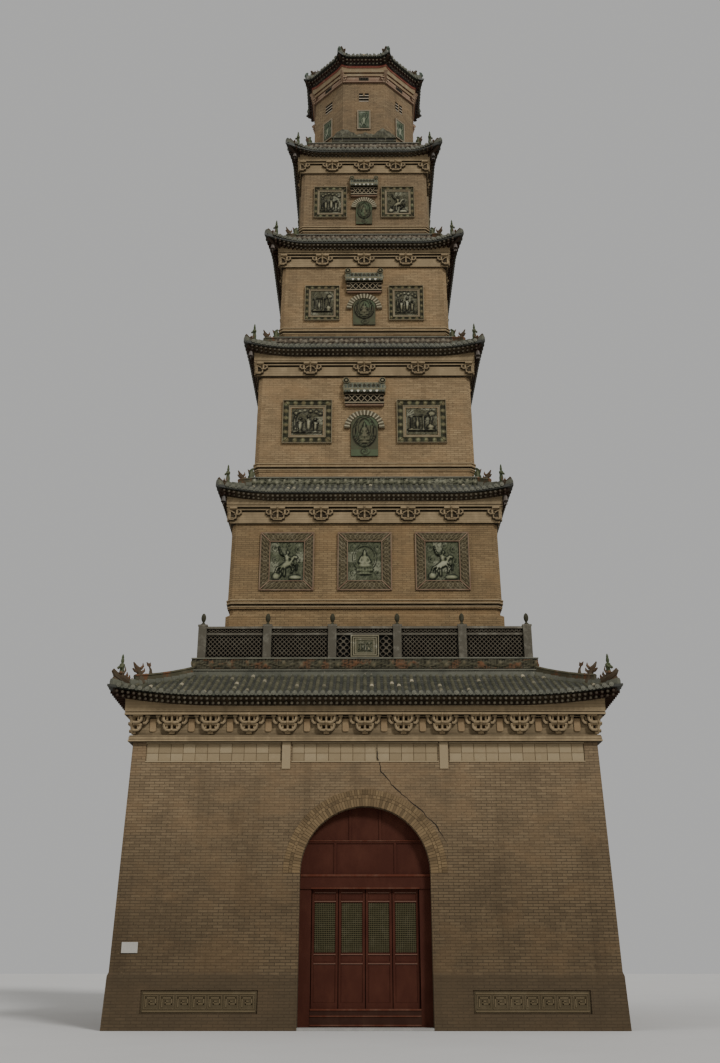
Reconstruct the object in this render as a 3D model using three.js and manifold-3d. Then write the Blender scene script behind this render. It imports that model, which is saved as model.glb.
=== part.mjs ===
// A six-storey brick pagoda with glazed tile skirt roofs, in millimetres, +Z up.
// The origin is the centre of the ground plan at ground level, and the doorway faces -Y.
// Five square storeys step inwards as they rise, and an octagonal lantern stands on top.
import * as THREE from 'three';
import { mergeVertices } from 'three/addons/utils/BufferGeometryUtils.js';
import Module from 'manifold-3d';

const wasm = await Module();
wasm.setup();

// Gap between pieces that bear on each other.
const SEAM = 0.3;

// Ground storey: a battered square block with a stepped plinth, hollow inside.
const PLINTH = { foot: 6560, top: 6515, height: 1250 };
const BASE_WALL = { low: 6480, high: 6352, from: 1343, height: 7160 };
const DOORWAY = { half: 1710, springing: 3729, shoulder: 2100 };
const CHAMBER = { half: 2300, shoulder: 2700 };
const FLOOR_THICKNESS = 60;
const ARC_STEPS = 24;
const NICHE_STEPS = 10;

// Sunk panels of the ground storey: a band under the ledge and a carved strip in the plinth.
const SUNK_DEPTH = 45;
const TOP_BAND = { from: 6630, to: 7130, centreHalf: 1990, sideFrom: 2260, sideTo: 5980 };
const PLINTH_STRIP = { from: 380, to: 925, near: 2690, far: 5630 };

// Timber door: posts, lintel, threshold, four leaves and an arched board above.
const DOOR = { face: -6150, depth: 220, postInner: 1410, thresholdTop: 480, lintelFrom: 3349, lintelTo: 3673 };
const LEAF = { count: 4, gap: 20, thickness: 50, lift: 8, stile: 85, recess: 13 };
const LEAF_RAILS = [
  [488, 620],
  [1529, 1576],
  [1743, 1790],
  [3027, 3076],
  [3249, 3341],
];
const PIVOT = { radius: 20, socket: 22.5, reach: 20, sides: 12 };
const ARCH_BOARD = { thickness: 60, bar: 60, proud: 25, rail: 4536, lowMullion: 795, highMullion: 400 };

// Ground storey frieze, eave and skirt roof, with the terrace on top.
const BASE_CROWN = {
  ledgeTo: 7330, ledgeHalf: 6480, bracketTo: 7920, half: 6370, corniceTo: 8020, corniceHalf: 6600,
  eaveTo: 8320, eaveHalf: 6870, tileHalf: 6950, tileEdge: 70, lift: 240, flare: 110,
  roofTop: 9470, ridgeHalf: 5050, ridgeTop: 9890, bracketPitch: 1060, bracketCount: 13,
};

// Balustrade round the terrace.
const RAIL = { half: 4850, height: 1000, post: 250, slab: 110, bays: 5, postCap: 110, coping: 90 };

// Square storeys, from the terrace upwards. half and z values are real outer sizes.
const STOREYS = [
  {
    name: 'storey2', foot: 9890, wall: [4250, 4218], from: 11950, frieze: 14490, friezeHalf: 4295,
    bracketTo: 15080, corniceTo: 15140, corniceHalf: 4400, eaveTo: 15400, tileHalf: 4700, lift: 200, flare: 75,
    roofTop: 16130, ridgeHalf: 3750, ridgeTop: 16360, bracketPitch: 1385, bracketCount: 7,
    frames: [-2440, 0, 2440], frame: { width: 1700, height: 1940, z: 13220, border: 320 },
  },
  {
    name: 'storey3', foot: 16360, wall: [3662, 3628], from: 16900, frieze: 20190, friezeHalf: 3698,
    bracketTo: 20700, corniceTo: 20780, corniceHalf: 3795, eaveTo: 21110, tileHalf: 4120, lift: 200, flare: 83,
    roofTop: 21900, ridgeHalf: 3150, ridgeTop: 22116, bracketPitch: 1800, bracketCount: 5,
    frames: [-1930, 1930], frame: { width: 1645, height: 1600, z: 18460, border: 290 },
    canopy: { half: 710, from: 19067, to: 20141 },
    niche: { half: 660, springing: 18190, plaqueHalf: 455, from: 17162, to: 18569 },
  },
  {
    name: 'storey4', foot: 22116, wall: [3027, 2995], from: 22560, frieze: 25180, friezeHalf: 3062,
    bracketTo: 25710, corniceTo: 25760, corniceHalf: 3160, eaveTo: 25970, tileHalf: 3550, lift: 200, flare: 87,
    roofTop: 26760, ridgeHalf: 2600, ridgeTop: 26967, bracketPitch: 1490, bracketCount: 5,
    frames: [-1515, 1515], frame: { width: 1230, height: 1450, z: 23607, border: 170 },
    canopy: { half: 680, from: 24052, to: 25087 },
    niche: { half: 615, springing: 23346, plaqueHalf: 400, from: 22687, to: 23687 },
  },
  {
    name: 'storey5', foot: 26967, wall: [2447, 2420], from: 27440, frieze: 29990, friezeHalf: 2482,
    bracketTo: 30474, corniceTo: 30540, corniceHalf: 2570, eaveTo: 30750, tileHalf: 2950, lift: 200, flare: 81,
    roofTop: 31450, ridgeHalf: 2190, ridgeTop: 31700, bracketPitch: 1175, bracketCount: 5,
    frames: [-1290, 1290], frame: { width: 1240, height: 1420, z: 28567, border: 170 },
    canopy: { half: 535, from: 28838, to: 29817 },
    niche: { half: 465, springing: 28298, plaqueHalf: 305, from: 27549, to: 28515 },
  },
];
const CHAMFER = 140;
const PROUD = { frame: 40, canopy: 210, arch: 45, plaque: 60 };
const BRACKET = { width: 560, foot: 260, reach: 150 };

// Octagonal top storey. Apothems are half the distance across flats.
const LANTERN = {
  foot: 31700, half: 2050, high: 2020, from: 32240, frieze: 34960, friezeHalf: 2065, corniceTo: 35560,
  corniceHalf: 2160, eaveTo: 36000, tileHalf: 2420, tileEdge: 60, lift: 120, flare: 150,
  roofTop: 37700, topHalf: 230, plaqueHalf: 265, plaqueFrom: 32500, plaqueTo: 33480,
};
const FINIAL_HEIGHT = 950;

// Trigrams sunk in the lantern's faces, from the front round to the right. Each is read from the
// top row down, and true is an unbroken bar.
const TRIGRAMS = [
  [false, true, true],
  [false, false, false],
  [true, false, true],
  [true, true, false],
  [false, false, true],
  [true, false, false],
  [false, true, false],
  [true, true, true],
];
const TRIGRAM = { half: 200, gap: 70, rows: [34370, 34220, 34070], height: 80, depth: 60 };
const PIERCED_STRIP = { half: 200, from: 35090, to: 35310, depth: 50 };

// Weathered ridge with two humps that stands on the fifth roof before each main face of the lantern.
const HUMPED_RIDGE = { half: 1150, low: 31980, saddle: 32230, hump: 840, top: 32440, back: 2085, front: 2180 };

const TILE_EDGE = 60;
const EAVE_STEPS = { 4: 6, 8: 4 };
const ROOF_RINGS = 4;
const HIP = { width: 170, height: 150, sink: 35, inset: 45 };

// Figures on each hip, by their distance in from the eave, and the leaf that ends the ridge band.
const HIP_FIGURES = [
  { inset: 300, length: 170, width: 150, height: 570, taper: 0.4 },
  { inset: 640, length: 330, width: 140, height: 430, taper: 0.7 },
];
const RIDGE_LEAF = { inset: 30, sink: 160, length: 240, width: 130, height: 480, taper: 0.6 };

// Colours and finishes.
function finish(color, roughness, metalness = 0) {
  return new THREE.MeshStandardMaterial({ color, roughness, metalness });
}
const brick = () => finish(0x9b7f63, 0.92);
const glazedTile = () => finish(0x5d6857, 0.45);
const timber = () => finish(0x6a2a22, 0.6);
const stone = () => finish(0x9c978c, 0.9);
const carvedStone = () => finish(0x77776a, 0.85);
const gilt = () => finish(0xc9a24a, 0.4, 0.6);

const pagoda = new THREE.Group();

function place(name, geometry, material) {
  const mesh = new THREE.Mesh(geometry, material);
  mesh.name = name;
  pagoda.add(mesh);
  return mesh;
}

// A closed geometry as a solid that can be joined and cut.
function solid(geometry) {
  const bare = geometry.clone();
  bare.deleteAttribute('normal');
  bare.deleteAttribute('uv');
  const merged = mergeVertices(bare, 0.01);
  return new wasm.Manifold(new wasm.Mesh({
    numProp: 3,
    vertProperties: new Float32Array(merged.attributes.position.array),
    triVerts: new Uint32Array(merged.index.array),
  }));
}

function geometryOf(shape) {
  const mesh = shape.getMesh();
  const geometry = new THREE.BufferGeometry();
  geometry.setAttribute('position', new THREE.BufferAttribute(mesh.vertProperties, 3));
  geometry.setIndex(new THREE.BufferAttribute(mesh.triVerts, 1));
  const flat = geometry.toNonIndexed();
  flat.computeVertexNormals();
  return flat;
}

function joined(geometries) {
  return geometries.map(solid).reduce((whole, next) => whole.add(next));
}

function cut(shape, geometries) {
  return geometries.map(solid).reduce((whole, next) => whole.subtract(next), shape);
}

function box([x0, x1], [y0, y1], [z0, z1]) {
  const geometry = new THREE.BoxGeometry(x1 - x0, y1 - y0, z1 - z0);
  return geometry.translate((x0 + x1) / 2, (y0 + y1) / 2, (z0 + z1) / 2);
}

// A box on the front face of a square storey: x across, reach from depth "back" out to "front".
function onFace([x0, x1], [back, front], [z0, z1]) {
  return box([x0, x1], [-front, -back], [z0, z1]);
}

// The same geometry on all the sides of a square or an octagon.
function aroundSides(geometries, sides = 4) {
  const turned = [];
  for (let side = 0; side < sides; side += 1) {
    for (const geometry of geometries) {
      turned.push(geometry.clone().rotateZ((side * 2 * Math.PI) / sides));
    }
  }
  return turned;
}

// Skin over a row of rings with equal numbers of points, closed by a fan at each end.
function loft(rings) {
  const count = rings[0].length;
  const points = rings.flat();
  const faces = [];
  for (let level = 0; level + 1 < rings.length; level += 1) {
    for (let i = 0; i < count; i += 1) {
      const a = level * count + i;
      const b = level * count + ((i + 1) % count);
      faces.push(a, b, b + count, a, b + count, a + count);
    }
  }
  const middle = (ring) => ring.reduce((sum, p) => sum.add(p), new THREE.Vector3()).divideScalar(count);
  const low = points.length;
  points.push(middle(rings[0]));
  const high = points.length;
  points.push(middle(rings[rings.length - 1]));
  const last = (rings.length - 1) * count;
  for (let i = 0; i < count; i += 1) {
    const next = (i + 1) % count;
    faces.push(low, next, i);
    faces.push(high, last + i, last + next);
  }
  const geometry = new THREE.BufferGeometry().setFromPoints(points);
  geometry.setIndex(faces);
  return geometry;
}

// A level ring round a square or octagon. lift raises and flare pushes out its corners,
// both growing from nothing at six tenths of the way from the middle of a side to its end.
function ring(sides, half, z, { lift = 0, flare = 0, steps = 1 } = {}) {
  const spread = Math.tan(Math.PI / sides);
  const points = [];
  for (let side = 0; side < sides; side += 1) {
    const turn = (side * 2 * Math.PI) / sides;
    for (let i = 0; i < steps; i += 1) {
      const along = steps === 1 ? -1 : Math.sin((i / steps - 0.5) * Math.PI);
      const corner = Math.max(0, (Math.abs(along) - 0.6) / 0.4) ** 2;
      const reach = half + flare * corner;
      const point = new THREE.Vector3(reach * spread * along, -reach, z + lift * corner);
      points.push(point.applyAxisAngle(new THREE.Vector3(0, 0, 1), turn));
    }
  }
  return points;
}

// A square ring with its corners cut at 45 degrees.
function chamferedRing(half, z, cutBack = CHAMFER) {
  const points = [];
  for (let side = 0; side < 4; side += 1) {
    const turn = (side * Math.PI) / 2;
    for (const x of [cutBack - half, half - cutBack]) {
      points.push(new THREE.Vector3(x, -half, z).applyAxisAngle(new THREE.Vector3(0, 0, 1), turn));
    }
  }
  return points;
}

function prism(sides, levels) {
  return loft(levels.map(([z, half]) => ring(sides, half, z)));
}

// Outline of an arch: straight jambs from "from" up to the springing, then a half circle.
function archShape(half, from, springing, steps = ARC_STEPS) {
  const shape = new THREE.Shape();
  shape.moveTo(-half, from);
  shape.lineTo(half, from);
  for (let i = 0; i <= steps; i += 1) {
    const angle = (i / steps) * Math.PI;
    shape.lineTo(half * Math.cos(angle), springing + half * Math.sin(angle));
  }
  return shape;
}

// An upright outline in the XZ plane, given thickness along +Y from y0 to y1.
function upright(shape, y0, y1) {
  const geometry = new THREE.ExtrudeGeometry(shape, { depth: y1 - y0, bevelEnabled: false });
  return geometry.rotateX(Math.PI / 2).translate(0, y1, 0);
}

// Ground storey walls, cut out of one battered block.
function groundBlock() {
  return solid(prism(4, [
    [0, PLINTH.foot],
    [PLINTH.height, PLINTH.top],
    [BASE_WALL.from, BASE_WALL.low],
    [BASE_WALL.height - SEAM, BASE_WALL.high],
  ]));
}

function halfAt(z) {
  const share = (z - BASE_WALL.from) / (BASE_WALL.height - BASE_WALL.from);
  return BASE_WALL.low + (BASE_WALL.high - BASE_WALL.low) * share;
}

function sunkPanels() {
  const { from, to, centreHalf, sideFrom, sideTo } = TOP_BAND;
  const bandBack = halfAt((from + to) / 2) - SUNK_DEPTH;
  const stripBack = (PLINTH.foot + PLINTH.top) / 2 - SUNK_DEPTH;
  const outside = PLINTH.foot + 100;
  const strip = [PLINTH_STRIP.from, PLINTH_STRIP.to];
  return aroundSides([
    onFace([-centreHalf, centreHalf], [bandBack, outside], [from, to]),
    onFace([sideFrom, sideTo], [bandBack, outside], [from, to]),
    onFace([-sideTo, -sideFrom], [bandBack, outside], [from, to]),
    onFace([PLINTH_STRIP.near, PLINTH_STRIP.far], [stripBack, outside], strip),
    onFace([-PLINTH_STRIP.far, -PLINTH_STRIP.near], [stripBack, outside], strip),
  ]);
}

function buildGroundWalls() {
  const block = cut(groundBlock(), sunkPanels());
  const out = PLINTH.foot + 50;
  const top = BASE_WALL.height;
  const { half: room, shoulder } = CHAMBER;
  const spring = DOORWAY.springing;
  const keep = (region, notches = []) => geometryOf(cut(block.intersect(solid(region)), notches));
  const over = SEAM;

  for (const [name, sign] of [['wall_front_left', -1], ['wall_front_right', 1]]) {
    const span = (near, far) => [Math.min(sign * near, sign * far), Math.max(sign * near, sign * far)];
    const notch = box(span(0, DOORWAY.shoulder), [-out, -room + 1], [spring, top]);
    place(name, keep(box(span(DOORWAY.half, out), [-out, -room - over], [-1, top]), [notch]), brick());
  }
  const arch = upright(archShape(DOORWAY.half, spring - 10, spring), -out, -room + 1);
  const head = box([over - DOORWAY.shoulder, DOORWAY.shoulder - over], [-out, -room - over], [spring + over, top]);
  place('wall_over_door', keep(head, [arch]), brick());

  for (const [name, sign] of [['wall_left', -1], ['wall_right', 1]]) {
    const span = (near, far) => [Math.min(sign * near, sign * far), Math.max(sign * near, sign * far)];
    const notch = box(span(0, shoulder), [-out, out], [spring, top]);
    place(name, keep(box(span(room, out), [-room, room], [-1, top]), [notch]), brick());
  }
  place('wall_back', keep(box([-out, out], [room + over, out], [-1, top])), brick());

  const crown = box([over - shoulder, shoulder - over], [-room, room], [spring + over, top - SEAM]);
  const tunnel = upright(archShape(room, spring - 10, spring), -room - 1, room + 1);
  place('chamber_vault', geometryOf(cut(solid(crown), [tunnel])), brick());

  const plan = new THREE.Shape();
  const inner = room - SEAM;
  const sill = DOORWAY.half - SEAM;
  plan.moveTo(-sill, -PLINTH.foot + 20);
  plan.lineTo(sill, -PLINTH.foot + 20);
  plan.lineTo(sill, -inner);
  plan.lineTo(inner, -inner);
  plan.lineTo(inner, inner);
  plan.lineTo(-inner, inner);
  plan.lineTo(-inner, -inner);
  plan.lineTo(-sill, -inner);
  place('floor', new THREE.ExtrudeGeometry(plan, { depth: FLOOR_THICKNESS, bevelEnabled: false }), stone());
}

// Door leaves hang on pins at their outer stiles: two on the left pins, two on the right.
function leafWidth() {
  return (2 * DOOR.postInner - (LEAF.count + 1) * LEAF.gap) / LEAF.count;
}

function leafLeft(index) {
  return -DOOR.postInner + LEAF.gap + index * (leafWidth() + LEAF.gap);
}

function pivotX(index) {
  const inset = LEAF.thickness / 2;
  return index < LEAF.count / 2 ? leafLeft(index) + inset : leafLeft(index) + leafWidth() - inset;
}

const LEAF_MIDDLE = DOOR.face + DOOR.depth / 2;

function post(radius, x, z0, z1) {
  const geometry = new THREE.CylinderGeometry(radius, radius, z1 - z0, PIVOT.sides);
  return geometry.rotateX(Math.PI / 2).translate(x, LEAF_MIDDLE, (z0 + z1) / 2);
}

function buildDoor() {
  const { face, depth, postInner, thresholdTop, lintelFrom, lintelTo } = DOOR;
  const side = DOORWAY.half - SEAM;
  const ground = FLOOR_THICKNESS + SEAM;
  const back = face + depth;
  const low = thresholdTop + LEAF.lift;
  const high = lintelFrom - LEAF.lift;
  const pins = Array.from({ length: LEAF.count }, (_, index) => pivotX(index));

  const frame = joined([
    box([-side, -postInner], [face, back], [ground, lintelTo]),
    box([postInner, side], [face, back], [ground, lintelTo]),
    box([-side, side], [face - 30, back], [lintelFrom, lintelTo]),
  ]);
  const headSockets = pins.map((x) => post(PIVOT.socket, x, lintelFrom - 5, lintelFrom + PIVOT.reach));
  place('door_frame', geometryOf(cut(frame, headSockets)), timber());

  const sill = solid(box([SEAM - postInner, postInner - SEAM], [face - 10, back], [ground, thresholdTop]));
  const footSockets = pins.map((x) => post(PIVOT.socket, x, thresholdTop - PIVOT.reach, thresholdTop + 5));
  place('door_threshold', geometryOf(cut(sill, footSockets)), timber());

  for (let index = 0; index < LEAF.count; index += 1) {
    const left = leafLeft(index);
    const right = left + leafWidth();
    const near = LEAF_MIDDLE - LEAF.thickness / 2;
    const far = LEAF_MIDDLE + LEAF.thickness / 2;
    const fields = [];
    for (let rail = 0; rail + 1 < LEAF_RAILS.length; rail += 1) {
      const field = [LEAF_RAILS[rail][1], LEAF_RAILS[rail + 1][0]];
      fields.push(box([left + LEAF.stile, right - LEAF.stile], [near - 1, near + LEAF.recess], field));
      fields.push(box([left + LEAF.stile, right - LEAF.stile], [far - LEAF.recess, far + 1], field));
    }
    const board = cut(solid(box([left, right], [near, far], [low, high])), fields);
    const footPin = solid(post(PIVOT.radius, pins[index], thresholdTop - PIVOT.reach + SEAM, low + 5));
    const headPin = solid(post(PIVOT.radius, pins[index], high - 5, lintelFrom + PIVOT.reach - 2));
    place(`door_leaf_${index + 1}`, geometryOf(board.add(footPin).add(headPin)), timber());
  }

  const spring = DOORWAY.springing;
  const foot = lintelTo + SEAM;
  const boardFace = face + 40;
  const board = solid(upright(archShape(side, foot, spring), boardFace, boardFace + ARCH_BOARD.thickness));
  const outline = solid(upright(archShape(side, foot, spring), boardFace - 100, boardFace + 100));
  const bar = ARCH_BOARD.bar / 2;
  const front = [boardFace - ARCH_BOARD.proud, boardFace + 1];
  const bars = [box([-side, side], front, [ARCH_BOARD.rail - bar, ARCH_BOARD.rail + bar])];
  for (const sign of [-1, 1]) {
    const lowX = sign * ARCH_BOARD.lowMullion;
    const highX = sign * ARCH_BOARD.highMullion;
    bars.push(box([lowX - bar, lowX + bar], front, [foot, ARCH_BOARD.rail]));
    bars.push(box([highX - bar, highX + bar], front, [ARCH_BOARD.rail, spring + side]));
  }
  place('door_arch_board', geometryOf(board.add(joined(bars)).intersect(outline)), timber());
}

// Bracket blocks under an eave: narrow at the foot and wide at the head, spaced evenly on each side.
function brackets(half, z0, z1, pitch, count, width) {
  const foot = (width * BRACKET.foot) / BRACKET.width / 2;
  const outline = new THREE.Shape([
    new THREE.Vector2(-foot, z0),
    new THREE.Vector2(foot, z0),
    new THREE.Vector2(width / 2, z1),
    new THREE.Vector2(-width / 2, z1),
  ]);
  const block = upright(outline, -half - BRACKET.reach, -half + 20);
  return Array.from({ length: count }, (_, i) => block.clone().translate((i - (count - 1) / 2) * pitch, 0, 0));
}

// Tile skirt: a curved slope from the eave up to a ridge band, with hip ridges on its corners.
function skirt(sides, { base, baseHalf, tileHalf, edge, lift, flare, top, ridgeHalf, ridgeTop }) {
  const steps = EAVE_STEPS[sides];
  const rings = [
    ring(sides, baseHalf - 40, base, { steps }),
    ring(sides, tileHalf, base + 10, { steps, lift, flare }),
  ];
  const hipLine = [];
  for (let i = 0; i < ROOF_RINGS; i += 1) {
    const share = i / (ROOF_RINGS - 1);
    const half = tileHalf + (ridgeHalf - tileHalf) * share;
    const z = base + edge + (top - base - edge) * share ** 1.12;
    const fade = (1 - share) ** 2;
    rings.push(ring(sides, half, z, { steps, lift: lift * fade, flare: flare * fade }));
    hipLine.push([half + flare * fade, z + lift * fade]);
  }
  if (ridgeTop > top) {
    rings.push(ring(sides, ridgeHalf, ridgeTop, { steps }));
  }
  return { body: loft(rings), hipLine };
}

// Upright block on a hip, narrower at its top: reach is along the hip from the middle of the roof.
function hipBlock(reach, foot, { length, width, height, taper }) {
  const level = (z, scale) => {
    const along = (length * scale) / 2;
    const across = (width * scale) / 2;
    return [
      new THREE.Vector3(reach - along, -across, z),
      new THREE.Vector3(reach + along, -across, z),
      new THREE.Vector3(reach + along, across, z),
      new THREE.Vector3(reach - along, across, z),
    ];
  };
  return loft([level(foot, 1), level(foot + height, taper)]);
}

// Height of the hip line at a given half width of the roof.
function hipHeight(hipLine, half) {
  for (let i = 0; i + 1 < hipLine.length; i += 1) {
    const [outer, low] = hipLine[i];
    const [inner, high] = hipLine[i + 1];
    if (half >= inner) {
      return low + ((high - low) * (outer - half)) / (outer - inner);
    }
  }
  return hipLine[hipLine.length - 1][1];
}

// Hip ridge along one corner: a bar carried up the slope, with its figures and the leaf at its head.
function hipRidges(sides, hipLine, { ridgeHalf, ridgeTop, figures = false, leaf = false }) {
  const out = 1 / Math.cos(Math.PI / sides);
  const turn = Math.PI / sides - Math.PI / 2;
  const across = HIP.width / 2;
  const rings = hipLine.slice().reverse().map(([half, z]) => {
    const reach = (half - HIP.inset) * out;
    return [
      new THREE.Vector3(reach, across, z - HIP.sink),
      new THREE.Vector3(reach, across, z + HIP.height),
      new THREE.Vector3(reach, -across, z + HIP.height),
      new THREE.Vector3(reach, -across, z - HIP.sink),
    ];
  });
  const pieces = [loft(rings)];
  if (figures) {
    const [tipHalf] = hipLine[0];
    for (const figure of HIP_FIGURES) {
      const half = tipHalf - figure.inset;
      pieces.push(hipBlock(half * out, hipHeight(hipLine, half) + HIP.sink, figure));
    }
  }
  if (leaf) {
    const { inset, sink } = RIDGE_LEAF;
    pieces.push(hipBlock((ridgeHalf - inset) * out, ridgeTop - sink, RIDGE_LEAF));
  }
  return pieces.map((geometry) => geometry.rotateZ(turn));
}

// extras are further solids that stand on the roof.
function buildSkirt(name, sides, shape, extras = []) {
  const { body, hipLine } = skirt(sides, shape);
  const hips = aroundSides(hipRidges(sides, hipLine, shape), sides);
  place(name, geometryOf(solid(body).add(joined([...hips, ...extras]))), glazedTile());
}

function buildGroundCrown() {
  const c = BASE_CROWN;
  const core = solid(prism(4, [
    [BASE_WALL.height, c.ledgeHalf],
    [c.ledgeTo, c.ledgeHalf],
    [c.ledgeTo + 1, c.half],
    [c.bracketTo, c.half],
    [c.bracketTo + 20, c.corniceHalf],
    [c.corniceTo - SEAM, c.corniceHalf],
  ]));
  const wide = BRACKET.width * 1.2;
  const row = brackets(c.half, c.ledgeTo - 10, c.bracketTo + 10, c.bracketPitch, c.bracketCount, wide);
  place('ground_frieze', geometryOf(core.add(joined(aroundSides(row)))), brick());
  place('ground_eave', prism(4, [
    [c.corniceTo, c.corniceHalf],
    [c.eaveTo - SEAM, c.eaveHalf],
  ]), brick());
  buildSkirt('ground_roof', 4, {
    base: c.eaveTo, baseHalf: c.eaveHalf, tileHalf: c.tileHalf, edge: c.tileEdge, lift: c.lift, flare: c.flare,
    top: c.roofTop, ridgeHalf: c.ridgeHalf, ridgeTop: c.ridgeTop - SEAM, figures: true,
  });
}

// Terrace balustrade, one straight run for each side, with the corner posts on the front and back.
function balustradeRun(withCorners) {
  const { half, height, post: width, slab, bays, postCap, coping } = RAIL;
  const foot = BASE_CROWN.ridgeTop;
  const pitch = (2 * half) / bays;
  const end = withCorners ? half : half - width / 2 - SEAM;
  const pieces = [
    onFace([-end, end], [half - slab / 2, half + slab / 2], [foot, foot + height - 1]),
    onFace([-end, end], [half - slab * 0.8, half + slab * 0.8], [foot + height - coping, foot + height]),
  ];
  for (let i = withCorners ? 0 : 1; i <= bays - (withCorners ? 0 : 1); i += 1) {
    const x = -half + i * pitch;
    const span = [x - width / 2, x + width / 2];
    pieces.push(onFace(span, [half - width / 2, half + width / 2], [foot, foot + height + postCap]));
  }
  return geometryOf(joined(pieces));
}

function buildBalustrade() {
  const runs = [['front', 0, true], ['right', 1, false], ['back', 2, true], ['left', 3, false]];
  for (const [side, quarter, withCorners] of runs) {
    const run = balustradeRun(withCorners).rotateZ((quarter * Math.PI) / 2);
    place(`balustrade_${side}`, run, carvedStone());
  }
}

// Levels of a storey wall: the terrace storey stands on a tall block with a waisted neck,
// the others on a low course, and all have rolls below the plain wall.
function wallLevels({ name, foot, wall, from, frieze }) {
  const [low, high] = wall;
  const roll = 40;
  const base = name === 'storey2'
    ? [[foot, low + 45], [11430, low + 45], [11450, low - 10], [11500, low - 60], [11740, low - 60]]
    : [[foot, low - 35], [from - 320, low - 35]];
  return [
    ...base,
    [from - 280, low - 5],
    [from - 240, low - 5],
    [from - 220, low - 30],
    [from - 140, low - 30],
    [from - 110, low + roll / 2],
    [from - 40, low + roll / 2],
    [from, low],
    [frieze - SEAM, high],
  ];
}

// Raised frame with a sunk field, for a carved panel on the wall.
function frameCuts({ frames, frame }, face) {
  const { width, height, z, border } = frame;
  const rise = [z - height / 2, z + height / 2];
  const inner = [rise[0] + border, rise[1] - border];
  return {
    raised: frames.map((x) => onFace([x - width / 2, x + width / 2], [face - 80, face + PROUD.frame], rise)),
    sunk: frames.map((x) => onFace(
      [x - width / 2 + border, x + width / 2 - border],
      [face - 30, face + PROUD.frame + 1],
      inner,
    )),
  };
}

// Small tiled canopy over a niche: a lattice band with a roof slope above it.
function canopyPieces({ half, from, to }, face) {
  const eave = from + (to - from) * 0.45;
  const slope = new THREE.Shape();
  slope.moveTo(face - 80, eave);
  slope.lineTo(face + PROUD.canopy, eave);
  slope.lineTo(face + PROUD.canopy, eave + 60);
  slope.lineTo(face + 70, to - 150);
  slope.lineTo(face + 70, to);
  slope.lineTo(face - 80, to);
  const roof = new THREE.ExtrudeGeometry(slope, { depth: 2 * half, bevelEnabled: false });
  roof.rotateX(Math.PI / 2).rotateZ(-Math.PI / 2).translate(half, 0, 0);
  return [
    roof,
    onFace([-half * 0.94, half * 0.94], [face - 80, face + PROUD.canopy * 0.5], [from, eave + 1]),
  ];
}

// Niche: a half ring of moulded brick over a standing plaque.
function nichePieces({ half, springing, plaqueHalf, from, to }, face) {
  const outer = archShape(half, springing - 1, springing, NICHE_STEPS);
  const inner = archShape(half - 130, springing - 20, springing, NICHE_STEPS);
  const hood = upright(outer, -face - PROUD.arch, -face + 80);
  const hollow = upright(inner, -face - PROUD.arch - 1, -face - 5);
  return {
    hood: cut(solid(hood), [hollow]),
    plaque: solid(onFace([-plaqueHalf, plaqueHalf], [face - 80, face + PROUD.plaque], [from, to])),
  };
}

function turned(shape, quarter) {
  return solid(geometryOf(shape).rotateZ((quarter * Math.PI) / 2));
}

function buildStoreyWall(storey) {
  const [low, high] = storey.wall;
  const levels = wallLevels(storey);
  const face = (low + high) / 2;
  let wall = solid(loft(levels.map(([z, half]) => chamferedRing(half, z))));
  const { raised, sunk } = frameCuts(storey, face);
  wall = wall.add(joined(aroundSides(raised)));
  wall = cut(wall, aroundSides(sunk));
  if (storey.canopy) {
    wall = wall.add(joined(aroundSides(canopyPieces(storey.canopy, face))));
    const { hood, plaque } = nichePieces(storey.niche, face);
    for (let quarter = 0; quarter < 4; quarter += 1) {
      wall = wall.add(turned(hood, quarter)).add(turned(plaque, quarter));
    }
  }
  place(`${storey.name}_wall`, geometryOf(wall), brick());
}

function buildStoreyCrown(storey) {
  const { name, frieze, friezeHalf, bracketTo, corniceTo, corniceHalf, eaveTo, tileHalf } = storey;
  const core = solid(prism(4, [
    [frieze, friezeHalf],
    [bracketTo, friezeHalf],
    [bracketTo + 10, corniceHalf],
    [corniceTo - SEAM, corniceHalf],
  ]));
  const row = brackets(
    friezeHalf, frieze + 90, bracketTo + 5, storey.bracketPitch, storey.bracketCount, BRACKET.width,
  );
  place(`${name}_frieze`, geometryOf(core.add(joined(aroundSides(row)))), brick());
  place(`${name}_eave`, prism(4, [[corniceTo, corniceHalf], [eaveTo - SEAM, tileHalf - 60]]), brick());
  buildSkirt(`${name}_roof`, 4, {
    base: eaveTo, baseHalf: tileHalf - 60, tileHalf, edge: TILE_EDGE, lift: storey.lift, flare: storey.flare,
    top: storey.roofTop, ridgeHalf: storey.ridgeHalf, ridgeTop: storey.ridgeTop - SEAM, figures: true, leaf: true,
  }, name === 'storey5' ? humpedRidges() : []);
}

function humpedRidges() {
  const { half, low, saddle, hump, top, back, front } = HUMPED_RIDGE;
  const rise = [
    [half, low],
    [hump + 180, low + 20],
    [hump + 90, top - 120],
    [hump, top],
    [hump - 110, top - 110],
    [hump - 200, saddle],
  ];
  const foot = LANTERN.foot - 20;
  const points = [[-half, foot], [half, foot], ...rise, ...rise.slice().reverse().map(([x, z]) => [-x, z])];
  const outline = new THREE.Shape(points.map(([x, z]) => new THREE.Vector2(x, z)));
  return aroundSides([upright(outline, -front, -back)]);
}

// Sunk bars of the eight trigrams. A broken bar leaves a gap at its middle.
function trigramSlots() {
  const { half, gap, rows, height, depth } = TRIGRAM;
  const reach = [LANTERN.high - depth, LANTERN.half + 20];
  return TRIGRAMS.flatMap((bars, side) => bars.flatMap((whole, row) => {
    const level = [rows[row] - height / 2, rows[row] + height / 2];
    const spans = whole ? [[-half, half]] : [[-half, -gap / 2], [gap / 2, half]];
    return spans.map((span) => onFace(span, reach, level).rotateZ((side * Math.PI) / 4));
  }));
}

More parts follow.
